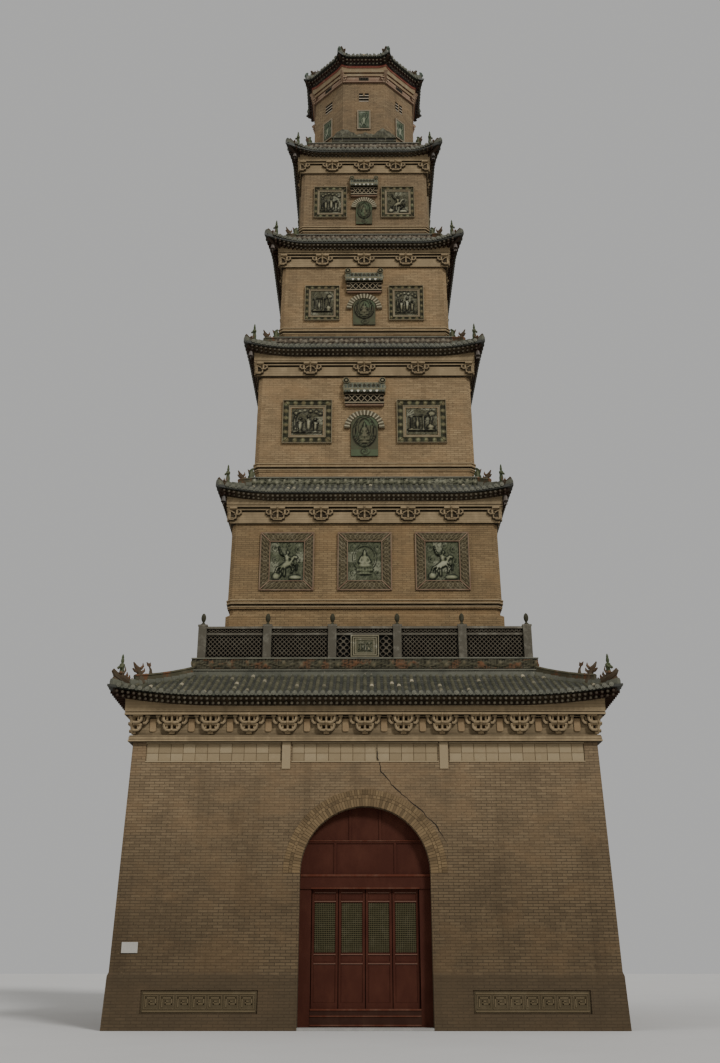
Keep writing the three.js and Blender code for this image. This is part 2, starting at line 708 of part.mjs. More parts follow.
function buildLantern() {
  const c = LANTERN;
  const plaques = aroundSides([
    onFace([-c.plaqueHalf, c.plaqueHalf], [c.half - 80, c.half + 30], [c.plaqueFrom, c.plaqueTo]),
  ], 8);
  const wall = solid(prism(8, [
    [c.foot, c.half + 20],
    [c.from - 60, c.half + 20],
    [c.from, c.half],
    [c.frieze - SEAM, c.high],
  ]));
  place('lantern_wall', geometryOf(cut(wall.add(joined(plaques)), trigramSlots())), brick());
  const frieze = solid(prism(8, [
    [c.frieze, c.friezeHalf],
    [c.corniceTo - 60, c.friezeHalf],
    [c.corniceTo - 40, c.corniceHalf],
    [c.corniceTo - SEAM, c.corniceHalf],
  ]));
  const { half, from, to, depth } = PIERCED_STRIP;
  const recess = onFace([-half, half], [c.friezeHalf - depth, c.friezeHalf + 20], [from, to]);
  place('lantern_frieze', geometryOf(cut(frieze, aroundSides([recess], 8))), brick());
  place('lantern_eave', prism(8, [
    [c.corniceTo, c.corniceHalf],
    [c.eaveTo - SEAM, c.tileHalf - 60],
  ]), brick());
  buildSkirt('lantern_roof', 8, {
    base: c.eaveTo, baseHalf: c.tileHalf - 60, tileHalf: c.tileHalf, edge: c.tileEdge, lift: c.lift, flare: c.flare,
    top: c.roofTop, ridgeHalf: c.topHalf, ridgeTop: c.roofTop,
  });

  const seat = c.roofTop + HIP.height + SEAM;
  const profile = [
    [0, 0], [210, 0], [210, 90], [100, 180], [100, 300], [210, 440], [140, 590], [60, 640], [90, 760],
    [0, FINIAL_HEIGHT - HIP.height],
  ].map(([radius, z]) => new THREE.Vector2(radius, z));
  const spire = new THREE.LatheGeometry(profile, 10).rotateX(Math.PI / 2).translate(0, 0, seat);
  place('finial', spire, gilt());
}

buildGroundWalls();
buildDoor();
buildGroundCrown();
buildBalustrade();
for (const storey of STOREYS) {
  buildStoreyWall(storey);
  buildStoreyCrown(storey);
}
buildLantern();

export default pagoda;
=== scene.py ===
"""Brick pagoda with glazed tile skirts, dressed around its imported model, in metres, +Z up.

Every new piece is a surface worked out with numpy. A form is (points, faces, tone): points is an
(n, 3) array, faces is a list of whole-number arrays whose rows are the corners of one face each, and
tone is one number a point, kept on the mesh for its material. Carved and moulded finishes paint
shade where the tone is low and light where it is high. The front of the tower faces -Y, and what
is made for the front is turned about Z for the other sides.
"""

import math
from types import SimpleNamespace

import bpy
import numpy as np
from bpy.props import FloatProperty, FloatVectorProperty, PointerProperty
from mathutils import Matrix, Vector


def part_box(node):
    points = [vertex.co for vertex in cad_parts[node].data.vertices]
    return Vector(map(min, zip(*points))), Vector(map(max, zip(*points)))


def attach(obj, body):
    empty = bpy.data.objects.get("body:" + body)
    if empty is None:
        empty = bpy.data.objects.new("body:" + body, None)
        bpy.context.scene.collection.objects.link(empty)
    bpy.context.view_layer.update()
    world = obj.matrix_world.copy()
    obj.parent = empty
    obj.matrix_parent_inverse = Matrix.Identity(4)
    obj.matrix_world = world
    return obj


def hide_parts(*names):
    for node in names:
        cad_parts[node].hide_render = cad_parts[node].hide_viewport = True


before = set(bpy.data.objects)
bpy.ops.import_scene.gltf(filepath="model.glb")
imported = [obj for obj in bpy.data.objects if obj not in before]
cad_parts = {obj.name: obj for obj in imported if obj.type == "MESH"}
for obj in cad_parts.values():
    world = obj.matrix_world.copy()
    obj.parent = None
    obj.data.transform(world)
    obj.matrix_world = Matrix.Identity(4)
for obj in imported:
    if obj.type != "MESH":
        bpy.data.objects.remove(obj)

bl_info = {
    "name": "Brick Pagoda",
    "version": (1, 0, 0),
    "blender": (4, 5, 0),
    "location": "View3D > Sidebar > Pagoda",
    "description": "Builds the tiles, brackets, carving, door and finishes of a brick pagoda",
    "category": "Add Mesh",
}

SEAM = 0.0003
TURN = 2 * math.pi
SQUARE = 4
OCTAGON = 8

# The tile skirts: corner lift and flare, top of the slope, half width and top of the ridge band above
# it, how far the tiles pass the eave, their spacing, how far below the eave the two rows of rafters
# run, and the height of the brick face under them.
SKIRT_SIZES = "lift flare top ridge_half ridge_top margin pitch rafters face"
SKIRTS = {
    "ground": (0.24, 0.11, 9.34, 5.05, 9.89, 0.06, 0.192, (0.067, 0.173), 8.107),
    "storey2": (0.20, 0.115, 16.06, 3.75, 16.36, -0.02, 0.190, (0.065, 0.14), 15.214),
    "storey3": (0.20, 0.105, 21.82, 3.15, 22.116, -0.02, 0.186, (0.047, 0.137), 20.916),
    "storey4": (0.20, 0.225, 26.69, 2.60, 26.967, -0.075, 0.181, (0.045, 0.125), 25.892),
    "storey5": (0.20, 0.255, 31.40, 2.19, 31.70, -0.11, 0.180, (0.0, 0.07), 30.688),
    "lantern": (0.12, 0.15, 37.70, 0.23, 37.70, 0.04, 0.175, (0.11, 0.20), 35.63),
}
TILE_EDGE = 0.065
# The ground storey's frieze: half widths of its wall and of its cornice, and spacing of its brackets.
GROUND_FRIEZE, GROUND_CORNICE, BRACKET_PITCH = 6.37, 6.60, 1.06

# Hips: size of the figures, how far in from the tip and how high the dragon heads sit, and the carving
# of the ridge band with its pitch.
HIP_WORK = {
    "ground": (1.15, 0.24, 0.03, "ridge_dull", BRACKET_PITCH),
    "storey2": (1.0, 0.17, -0.10, "ridge_green", 0.50),
    "others": (1.0, 0.17, -0.10, "ridge_rose", 0.36),
}

RIGHT, UP, FRONT = (1, 0, 0), (0, 0, 1), (0, -1, 0)


# Forms: small closed shapes and what is done with many of them at once.

def outward(points, faces, tone):
    """The form with its faces looking out: the sum of a . (b x c) over a fan of each face, six times
    its volume, comes out above nought."""
    volume = 0.0
    for rows in faces:
        first = points[rows[:, 0]]
        for i in range(1, rows.shape[1] - 1):
            cross = np.cross(points[rows[:, i]], points[rows[:, i + 1]])
            volume += np.einsum("ij,ij->", first, cross)
    if volume < 0:
        faces = [rows[:, ::-1] for rows in faces]
    return points, faces, tone


def tube(path, across, up, profile, closed=False, tone=0.5):
    """A profile carried along paths: corner j at step i is path[i] + profile[j, 0] * across[i]
    + profile[j, 1] * up[i]. A path that isn't closed on itself is capped at both ends."""
    path = np.asarray(path, float)
    if path.ndim == 2:
        path = path[None]
    across = np.broadcast_to(across, path.shape)
    up = np.broadcast_to(up, path.shape)
    profile = np.asarray(profile, float)
    profile = np.broadcast_to(profile, path.shape[:2] + profile.shape[-2:])
    points = path[:, :, None] + profile[..., 0:1] * across[:, :, None] + profile[..., 1:2] * up[:, :, None]
    index = np.arange(points[..., 0].size).reshape(points.shape[:3])
    low, high = (index, np.roll(index, -1, 1)) if closed else (index[:, :-1], index[:, 1:])
    sides = np.stack([low, np.roll(low, -1, 2), np.roll(high, -1, 2), high], -1)
    faces = [sides.reshape(-1, 4)]
    if not closed:
        faces += [index[:, 0, ::-1], index[:, -1]]
    tones = np.broadcast_to(tone, points.shape[:3]).ravel()
    return outward(points.reshape(-1, 3), faces, tones)


def block(x, y, z, tone=0.5):
    """An upright block between two values of x, y and z."""
    path = [((x[0] + x[1]) / 2, (y[0] + y[1]) / 2, height) for height in z]
    a, b = abs(x[1] - x[0]) / 2, abs(y[1] - y[0]) / 2
    corners = [(-a, -b), (a, -b), (a, b), (-a, b)]
    return tube(path, RIGHT, (0, 1, 0), corners, tone=tone)


def plate(outline, y, tone=0.5):
    """A flat outline of (x, z) points, carried along Y between two values of y."""
    path = [(0, depth, 0) for depth in y]
    return tube(path, RIGHT, UP, outline, tone=tone)


def circle(steps, start=0.0):
    """Points of a unit circle, evenly spaced, the first of them start steps round."""
    angle = (np.arange(steps) + start) * TURN / steps
    return np.stack([np.cos(angle), np.sin(angle)], -1)


def spots(x, y, z):
    """Places as an array of (x, y, z), where each of the three is an array or one number."""
    return np.stack(np.broadcast_arrays(x, y, z), -1)


def turned_profile(levels, steps=12, squash=1.0, tone=0.5):
    """A round body about Z: at height z its radius is r, for each (r, z) in levels, and squash
    narrows it along Y."""
    levels = np.asarray(levels, float)
    section = levels[:, 0, None, None] * (circle(steps) * (1, squash))
    return tube(spots(0, 0, levels[:, 1]), RIGHT, (0, 1, 0), section, tone=tone)


def relief(x, z, front, back, tone=0.5):
    """A raised panel: point (i, j) of its face is (x[i, j], -front[i, j], z[i, j]), and its edges
    run straight back to y = -back."""
    x, z, front = np.broadcast_arrays(x, z, front)
    face = np.stack([x, -front, z], -1).reshape(-1, 3)
    index = np.arange(x.size).reshape(x.shape)
    cells = np.stack([index[:-1, :-1], index[1:, :-1], index[1:, 1:], index[:-1, 1:]], -1).reshape(-1, 4)
    edge = np.concatenate([index[:, 0], index[-1, 1:], index[-2::-1, -1], index[0, -2:0:-1]])
    rim = face[edge].copy()
    rim[:, 1] = -back
    behind = np.arange(len(edge)) + len(face)
    skirt = np.stack([edge, behind, np.roll(behind, -1), np.roll(edge, -1)], -1)
    tones = np.broadcast_to(tone, x.shape).ravel()
    points = np.concatenate([face, rim])
    return outward(points, [cells, skirt, behind[None, ::-1]], np.concatenate([tones, tones[edge]]))


def joined(forms):
    """One form of many: the points are stacked, and each face's numbers move on by the points
    before it."""
    points, faces, tones, start = [], [], [], 0
    for some, rows, tone in forms:
        points.append(some)
        faces += [row + start for row in rows]
        tones.append(tone)
        start += len(some)
    return np.concatenate(points), faces, np.concatenate(tones)


def spun(form, angle):
    """The form turned about Z."""
    points, faces, tone = form
    c, s = math.cos(angle), math.sin(angle)
    return points @ np.array([[c, s, 0], [-s, c, 0], [0, 0, 1]]), faces, tone


def around(form, sides=SQUARE):
    """The form and its copies on every side of a square or an octagon."""
    return joined([spun(form, side * TURN / sides) for side in range(sides)])


def moved(form, step):
    points, faces, tone = form
    return points + np.asarray(step, float), faces, tone


def scaled(form, scale):
    points, faces, tone = form
    return outward(points * np.asarray(scale, float), faces, tone)


ACROSS_X, ACROSS_Y = (-1, 1, 1), (1, -1, 1)


def mirrored(form, flip=ACROSS_X):
    """The form and its image across x = 0, or across y = 0."""
    return joined([form, scaled(form, flip)])


def repeated(form, places, tones=None):
    """Copies of the form at many places, made as one array."""
    points, faces, tone = form
    places = np.asarray(places, float)
    steps = np.arange(len(places)) * len(points)
    stacked = (points[None] + places[:, None]).reshape(-1, 3)
    rows = [(row[None] + steps[:, None, None]).reshape(-1, row.shape[1]) for row in faces]
    if tones is None:
        return stacked, rows, np.tile(tone, len(places))
    return stacked, rows, np.repeat(tones, len(points))


def corners_out(sides):
    """Where the corners of a square or an octagon lie, for a half width of 1: corner k stands at
    the angle (k + 1/2) turns / sides."""
    x, y = circle(sides, 0.5).T / math.cos(math.pi / sides)
    return spots(x, y, 0.0)


def ring_bar(half, low, high, proud, tone=0.5):
    """A level bar round the tower: its section is carried round the corners."""
    out = corners_out(SQUARE)
    profile = [(half - 0.05, low), (half + proud, low), (half + proud, high), (half - 0.05, high)]
    return tube(out * 0, out, UP, profile, closed=True, tone=tone)


def make_piece(name, form, finish, replaces=(), body="tower", crease=35):
    """Puts a form into the scene as one mesh that rides on a body."""
    points, faces, tone = form
    mesh = bpy.data.meshes.new(name)
    corners = np.concatenate([rows.ravel() for rows in faces]).astype(np.int32)
    sizes = np.concatenate([np.full(len(rows), rows.shape[1]) for rows in faces])
    mesh.vertices.add(len(points))
    mesh.vertices.foreach_set("co", points.astype(np.float32).ravel())
    mesh.loops.add(len(corners))
    mesh.loops.foreach_set("vertex_index", corners)
    mesh.polygons.add(len(sizes))
    mesh.polygons.foreach_set("loop_start", (np.cumsum(sizes) - sizes).astype(np.int32))
    mesh.update(calc_edges=True)
    mesh.attributes.new("tone", "FLOAT", "POINT").data.foreach_set("value", tone.astype(np.float32))
    mesh.shade_smooth()
    mesh.set_sharp_from_angle(angle=math.radians(crease))
    mesh.materials.append(look(finish))
    piece = bpy.data.objects.new(name, mesh)
    bpy.context.scene.collection.objects.link(piece)
    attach(piece, body)
    if replaces:
        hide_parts(*replaces)
    return piece


# Finishes: each is a tree of procedural nodes that reads Object coordinates and the tone attribute.

class Finish:
    """A material being made. Its methods add nodes and give back the socket that carries the result."""

    def __init__(self, name):
        self.material = bpy.data.materials.new(name)
        self.material.use_nodes = True
        self.tree = self.material.node_tree
        self.tree.nodes.clear()
        self.place = self.add("ShaderNodeTexCoord").outputs["Object"]
        self.tone = self.add("ShaderNodeAttribute", dict(attribute_name="tone")).outputs["Fac"]

    def put(self, socket, value):
        if isinstance(value, bpy.types.NodeSocket):
            self.tree.links.new(value, socket)
        elif isinstance(value, (tuple, list)) and len(value) == 3 and socket.type == "RGBA":
            socket.default_value = (*value, 1)
        else:
            socket.default_value = value

    def add(self, kind, settings=None, inputs=None):
        node = self.tree.nodes.new(kind)
        for key, value in (settings or {}).items():
            setattr(node, key, value)
        for key, value in (inputs or {}).items():
            self.put(node.inputs[key], value)
        return node

    def math(self, operation, a, b=0.0):
        node = self.add("ShaderNodeMath", dict(operation=operation), {0: a, 1: b})
        return node.outputs[0]

    def mix(self, share, a, b, blend="MIX"):
        settings = dict(data_type="RGBA", blend_type=blend)
        return self.add("ShaderNodeMix", settings, {0: share, 6: a, 7: b}).outputs[2]

    def ramp(self, value, low, high):
        """Runs from 0 at low to 1 at high."""
        inputs = {"Value": value, "From Min": low, "From Max": high}
        return self.add("ShaderNodeMapRange", dict(clamp=True), inputs).outputs[0]

    def tint(self, colour, mask, share, other):
        """Draws the colour towards another where the mask is 1, by that share."""
        return self.mix(self.math("MULTIPLY", mask, share), colour, other)

    def grained(self, colour, grain, share, dark=(0.6, 0.6, 0.6), light=(1.25, 1.25, 1.25)):
        """Multiplies the colour by a grey that runs from dark to light with the grain."""
        return self.mix(share, colour, self.mix(grain, dark, light), "MULTIPLY")

    def patches(self, low, high, *settings):
        """A mask of patches: noise of these settings, from 0 at low to 1 at high."""
        return self.ramp(self.noise(*settings), low, high)

    def joints(self, course, start):
        """A mask of the level joints between courses of that height."""
        level = self.math("FRACT", self.math("DIVIDE", self.height(), course))
        return self.ramp(self.math("ABSOLUTE", self.math("SUBTRACT", level, 0.5)), start, 0.5)

    def noise(self, scale, detail=3.0, stretch=None, rough=0.6):
        where = self.place
        if stretch:
            where = self.add("ShaderNodeMapping", None, {"Vector": where, "Scale": stretch}).outputs[0]
        inputs = {"Vector": where, "Scale": scale, "Detail": detail, "Roughness": rough}
        return self.add("ShaderNodeTexNoise", None, inputs).outputs["Fac"]

    def height(self):
        return self.add("ShaderNodeSeparateXYZ", None, {0: self.place}).outputs["Z"]

    def surface(self, colour, roughness, bump=None, distance=0.01, strength=0.5, **constants):
        shader = self.add("ShaderNodeBsdfPrincipled")
        self.put(shader.inputs["Base Color"], colour)
        self.put(shader.inputs["Roughness"], roughness)
        for key, value in constants.items():
            self.put(shader.inputs[key.replace("_", " ")], value)
        if bump is not None:
            inputs = {"Height": bump, "Distance": distance, "Strength": strength}
            self.put(shader.inputs["Normal"], self.add("ShaderNodeBump", None, inputs).outputs[0])
        out = self.add("ShaderNodeOutputMaterial")
        self.tree.links.new(shader.outputs[0], out.inputs["Surface"])
        return self.material


def wall_plane(finish):
    """Place on the wall as (u, z, 0). u is the place's dot product with Z x N, where N is the
    face's own normal, so that it runs level along a wall that looks any way."""
    normal = finish.add("ShaderNodeNewGeometry").outputs["True Normal"]
    parts = finish.add("ShaderNodeSeparateXYZ", None, {0: normal}).outputs
    level = finish.add("ShaderNodeCombineXYZ", None, {0: finish.math("MULTIPLY", parts[1], -1),
                                                      1: parts[0]})
    unit = finish.add("ShaderNodeVectorMath", dict(operation="NORMALIZE"), {0: level.outputs[0]})
    dot = finish.add("ShaderNodeVectorMath", dict(operation="DOT_PRODUCT"),
                     {0: finish.place, 1: unit.outputs[0]})
    return finish.add("ShaderNodeCombineXYZ", None,
                      {0: dot.outputs["Value"], 1: finish.height()}).outputs[0]


def dimmed(colour, share):
    """The colour with each part times share, no more than 1."""
    return tuple(min(1.0, part * share) for part in colour)


def brickwork(name, light, dark, mortar, course, length, joint=0.007, damp=None, depth=0.006, shade=None,
              grime=None, wear=1.0):
    """Laid brick: staggered courses with odd dark and pale bricks, stains, streaks and broken spots.
    Below the height grime the wall grows darker, painted tree shade together with dirt; below
    damp it turns darker again; and below shade it is darkened nearly to black, painted shade."""
    finish = Finish(name)
    inputs = {
        "Vector": wall_plane(finish), "Color1": light, "Color2": dark, "Mortar": mortar, "Scale": 1.0,
        "Mortar Size": joint, "Mortar Smooth": 0.3, "Bias": -0.1, "Brick Width": length,
        "Row Height": course,
    }
    bricks = finish.add("ShaderNodeTexBrick", dict(offset=0.5), inputs)
    pale, soot, warm = dimmed(light, 1.28), dimmed(dark, 0.42), (light[0], light[1] * 0.90, light[2] * 0.82)
    colour = finish.tint(bricks.outputs["Color"], finish.joints(course, 0.36), 0.62, mortar)
    for share, other, low, high, *settings in (
            (0.44, dimmed(dark, 0.72), 0.40, 0.60, 0.55, 5),                 # stains
            (0.4, warm, 0.47, 0.63, 0.85, 4, (1, 1, 1.7)),                   # warmer patches
            (0.34, soot, 0.54, 0.72, 1.6, 4, (1, 1, 0.12)),                  # streaks
            (0.5, pale, 0.60, 0.76, 2.4, 6, (1, 1, 0.6), 0.7),               # lime
            (0.5 * wear, pale, 0.60, 0.67, 9.0, 4, (1, 1, 1.8), 0.8),        # broken bricks
            (0.42 * wear, soot, 0.57, 0.66, 6.5, 4, (1, 1, 2.2), 0.8)):      # lost bricks
        colour = finish.tint(colour, finish.patches(low, high, *settings), share, other)
    grain = finish.noise(38, 3)
    colour = finish.grained(colour, grain, 0.45, (0.62, 0.60, 0.58))
    # Painted shade: below this height the wall darkens as if trees shaded it, together with dirt.
    if grime:
        reach = finish.math("ADD", finish.height(), finish.math("MULTIPLY", finish.noise(0.5, 4), 3.0))
        colour = finish.mix(finish.ramp(reach, grime + 1.5, 4.0), colour, (0.58, 0.57, 0.55), "MULTIPLY")
    # The wall turns darker at its foot.
    if damp:
        reach = finish.math("ADD", finish.height(), finish.math("MULTIPLY", finish.noise(3.0, 4), 0.2))
        colour = finish.tint(colour, finish.ramp(reach, damp + 0.12, damp + 0.02), 0.62, dimmed(dark, 0.36))
    # Painted shade: the terrace wall's foot turns nearly black, as the shade seen through the balustrade's
    # holes.
    if shade:
        terrace_shade = finish.ramp(finish.height(), shade + 0.15, shade - 0.1)
        colour = finish.tint(colour, terrace_shade, 0.88, (0.022, 0.019, 0.011))
    sunk = finish.math("MULTIPLY", bricks.outputs["Fac"], -1.0)
    worn = finish.math("ADD", finish.math("MULTIPLY", grain, 0.5), sunk)
    return finish.surface(colour, 0.93, worn, depth, 0.6, Specular_IOR_Level=0.2)


def painted(name, colour, worn, roughness=0.6, shine=0.5, dust=None):
    """Old paint or weathered render: one colour that fades to another in patches and streaks. Where
    the tone is near 1 it takes the last colour: dust on ledges together with a painted highlight."""
    finish = Finish(name)
    mixed = finish.tint(colour, finish.patches(0.42, 0.7, 3.0, 5, (1, 1, 0.5)), 0.6, worn)
    # Near tone 1: dust together with a painted highlight.
    if dust:
        mixed = finish.mix(finish.ramp(finish.tone, 0.8, 1.0), mixed, dust)
    grain = finish.noise(45, 3)
    mixed = finish.grained(mixed, grain, 0.4)
    return finish.surface(mixed, roughness, grain, 0.004, Specular_IOR_Level=shine)


def glazed(name, green, worn, bare):
    """Old glazed tile: each tile has its own tone, the glaze is rubbed to a grey-green body in
    patches, and edges have broken back to the pale clay."""
    finish = Finish(name)
    each = finish.mix(finish.tone, dimmed(green, 0.62), worn)
    colour = finish.tint(each, finish.patches(0.38, 0.68, 1.1, 5), 0.55, worn)
    colour = finish.tint(colour, finish.patches(0.5, 0.72, 2.7, 5), 0.6, dimmed(green, 0.3))
    chips = finish.math("MULTIPLY", finish.patches(0.62, 0.72, 9.0, 4, None, 0.75), 0.75)
    colour = finish.mix(finish.math("MAXIMUM", chips, finish.ramp(finish.tone, 0.93, 1.0)), colour, bare)
    fine = finish.noise(55, 3)
    colour = finish.grained(colour, fine, 0.35)
    rough = finish.math("ADD", finish.math("MULTIPLY", finish.noise(6.0, 3), 0.4), 0.42)
    return finish.surface(colour, rough, fine, 0.003)


def tile_share(finish, wide, high):
    """A number for each tile of a wall panel: white noise at the tile's column, row and side. The
    place along the wall is x on the front and back, and y on the other two sides."""
    parts = finish.add("ShaderNodeSeparateXYZ", None, {0: finish.place}).outputs
    front = finish.math("LESS_THAN", finish.math("ABSOLUTE", parts[0]), finish.math("ABSOLUTE", parts[1]))
    along = finish.math("ADD", finish.math("MULTIPLY", parts[0], front),
                        finish.math("MULTIPLY", parts[1], finish.math("SUBTRACT", 1.0, front)))
    column = finish.math("FLOOR", finish.math("DIVIDE", along, wide))
    row = finish.math("FLOOR", finish.math("DIVIDE", parts[2], high))
    cell = finish.add("ShaderNodeCombineXYZ", None, {0: column, 1: row, 2: front}).outputs[0]
    return finish.add("ShaderNodeTexWhiteNoise", None, {"Vector": cell}).outputs["Value"]


def carved(name, deep, middle, high, pale=(0.55, 0.53, 0.42), tile=None, rust=None, course=None):
    """Carved or moulded work: the tone attribute holds how far a place stands forward, and the colour
    runs with it from a dark ground, painted shade, through a middle colour to a pale front, a painted
    highlight together with rubbed wear. With tile, some whole tiles of that size have lost their glaze.
    With course, thin joints part courses of that height. With rust, patches of that colour lie on the
    raised work."""
    finish = Finish(name)
    low = finish.ramp(finish.tone, 0.05, 0.5)
    colour = finish.mix(low, deep, middle)
    colour = finish.tint(colour, finish.ramp(finish.tone, 0.5, 0.95), 0.75, high)
    raised = finish.math("ADD", 0.1, finish.math("MULTIPLY", finish.tone, 0.5))
    colour = finish.tint(colour, finish.patches(0.5, 0.66, 3.3, 5, None, 0.7), raised, pale)
    if rust:
        colour = finish.tint(colour, finish.patches(0.50, 0.58, 2.2, 3), finish.math("MULTIPLY", low, 0.8),
                             rust)
    if tile:
        lost = finish.ramp(tile_share(finish, *tile), 0.74, 0.78)
        lost = finish.math("MULTIPLY", lost, finish.ramp(finish.tone, 0.1, 0.5))
        colour = finish.tint(colour, lost, 0.55, pale)
    if course:
        colour = finish.tint(colour, finish.joints(course, 0.34), 0.35, deep)
        colour = finish.tint(colour, finish.patches(0.45, 0.7, 1.9, 4, (1, 1, 0.3)), 0.45,
                             dimmed(middle, 0.55))
    fine = finish.noise(60, 3)
    colour = finish.grained(colour, fine, 0.4, (0.55, 0.55, 0.55), (1.3, 1.3, 1.3))
    return finish.surface(colour, 0.85, fine, 0.003, Specular_IOR_Level=0.2)


def rafter_finish(name, timber, end):
    """Round rafters: dark painted sides, and on the cut end a dull disc with a paler middle where tone
    is 1, a painted highlight."""
    finish = Finish(name)
    fade = finish.noise(8.0, 4)
    sides = finish.mix(fade, dimmed(timber, 0.45), timber)
    cap = finish.mix(finish.ramp(finish.tone, 0.45, 0.95), dimmed(end, 0.35), end)
    cap = finish.mix(finish.patches(0.45, 0.6, 5.0, 3), dimmed(end, 0.5), cap)
    colour = finish.mix(finish.ramp(finish.tone, 0.25, 0.45), sides, cap)
    return finish.surface(colour, 0.85, fade, 0.003, Specular_IOR_Level=0.2)


# Carved work: colours of its ground (painted shade), its middle, its front (painted highlight with
# rubbed wear) and the bare body, then the size of its tiles and a rust colour, where it has them.
CARVED = {
    "ridge_green": ((0.012, 0.013, 0.008), (0.105, 0.105, 0.065), (0.26, 0.24, 0.16), (0.34, 0.33, 0.25)),
    "ridge_rose": ((0.016, 0.013, 0.009), (0.105, 0.083, 0.056), (0.24, 0.205, 0.145), (0.28, 0.26, 0.20)),
    "ridge_dull": ((0.018, 0.016, 0.010), (0.066, 0.060, 0.034), (0.135, 0.108, 0.060), (0.17, 0.15, 0.10),
                   None, (0.135, 0.058, 0.026)),
    "hip_figures": ((0.022, 0.014, 0.008), (0.072, 0.050, 0.028), (0.15, 0.075, 0.038), (0.15, 0.14, 0.10)),
    "robe_glaze": ((0.020, 0.026, 0.014), (0.062, 0.075, 0.036), (0.13, 0.125, 0.07), (0.17, 0.16, 0.11)),
    "eye_border": ((0.018, 0.014, 0.007), (0.078, 0.062, 0.032), (0.185, 0.155, 0.090), (0.20, 0.17, 0.11)),
    "scroll_border": ((0.018, 0.017, 0.008), (0.125, 0.112, 0.056), (0.33, 0.28, 0.165), (0.20, 0.24, 0.13),
                      None, (0.11, 0.085, 0.04)),
    "field_green": ((0.012, 0.015, 0.008), (0.100, 0.108, 0.060), (0.27, 0.265, 0.165), (0.36, 0.355, 0.25),
                    (0.27, 0.33)),
    "field_brown": ((0.014, 0.013, 0.008), (0.105, 0.098, 0.055), (0.32, 0.285, 0.18), (0.36, 0.35, 0.25),
                    (0.24, 0.27)),
    "inset_glaze": ((0.014, 0.013, 0.007), (0.078, 0.076, 0.042), (0.17, 0.145, 0.090),
                    (0.085, 0.125, 0.066), (0.45, 0.30)),
    "voussoir_brick": ((0.075, 0.062, 0.036), (0.19, 0.16, 0.10), (0.34, 0.305, 0.205),
                       (0.17, 0.15, 0.095)),
    "hood_band": ((0.12, 0.055, 0.032), (0.19, 0.145, 0.09), (0.33, 0.285, 0.19), (0.30, 0.27, 0.19)),
    "hood_ornament": ((0.016, 0.014, 0.008), (0.120, 0.112, 0.068), (0.19, 0.165, 0.10),
                      (0.26, 0.245, 0.17)),
    "rail_stone": ((0.022, 0.019, 0.014), (0.072, 0.064, 0.046), (0.145, 0.128, 0.096),
                   (0.24, 0.225, 0.175)),
    "net_tile": ((0.003, 0.003, 0.002), (0.065, 0.054, 0.037), (0.115, 0.095, 0.066), (0.14, 0.125, 0.09)),
    "bud_glaze": ((0.014, 0.015, 0.010), (0.055, 0.050, 0.026), (0.11, 0.085, 0.05), (0.14, 0.13, 0.09)),
    "rail_plaque": ((0.03, 0.035, 0.02), (0.13, 0.12, 0.07), (0.24, 0.21, 0.14)),
    "band_slabs": ((0.235, 0.178, 0.102), (0.275, 0.21, 0.122), (0.315, 0.248, 0.150),
                   (0.33, 0.265, 0.165)),
    "fret_brick": ((0.036, 0.027, 0.014), (0.098, 0.074, 0.039), (0.145, 0.110, 0.060),
                   (0.155, 0.120, 0.070)),
    "lattice_paint": ((0.010, 0.009, 0.003), (0.040, 0.036, 0.014), (0.105, 0.090, 0.045),
                      (0.12, 0.105, 0.06)),
    "plaque_glaze": ((0.03, 0.04, 0.025), (0.10, 0.12, 0.07), (0.28, 0.28, 0.20)),
    "crown_brick": ((0.03, 0.02, 0.012), (0.19, 0.115, 0.075), (0.34, 0.25, 0.165), (0.36, 0.29, 0.20)),
    "crown_rail": ((0.012, 0.008, 0.006), (0.16, 0.045, 0.030), (0.25, 0.215, 0.12), (0.30, 0.26, 0.17)),
    "crown_cells": ((0.006, 0.005, 0.004), (0.03, 0.026, 0.016), (0.06, 0.052, 0.034), (0.05, 0.045, 0.03)),
    "rough_ridge": ((0.008, 0.008, 0.005), (0.045, 0.042, 0.027), (0.11, 0.105, 0.065), (0.30, 0.28, 0.20)),
}
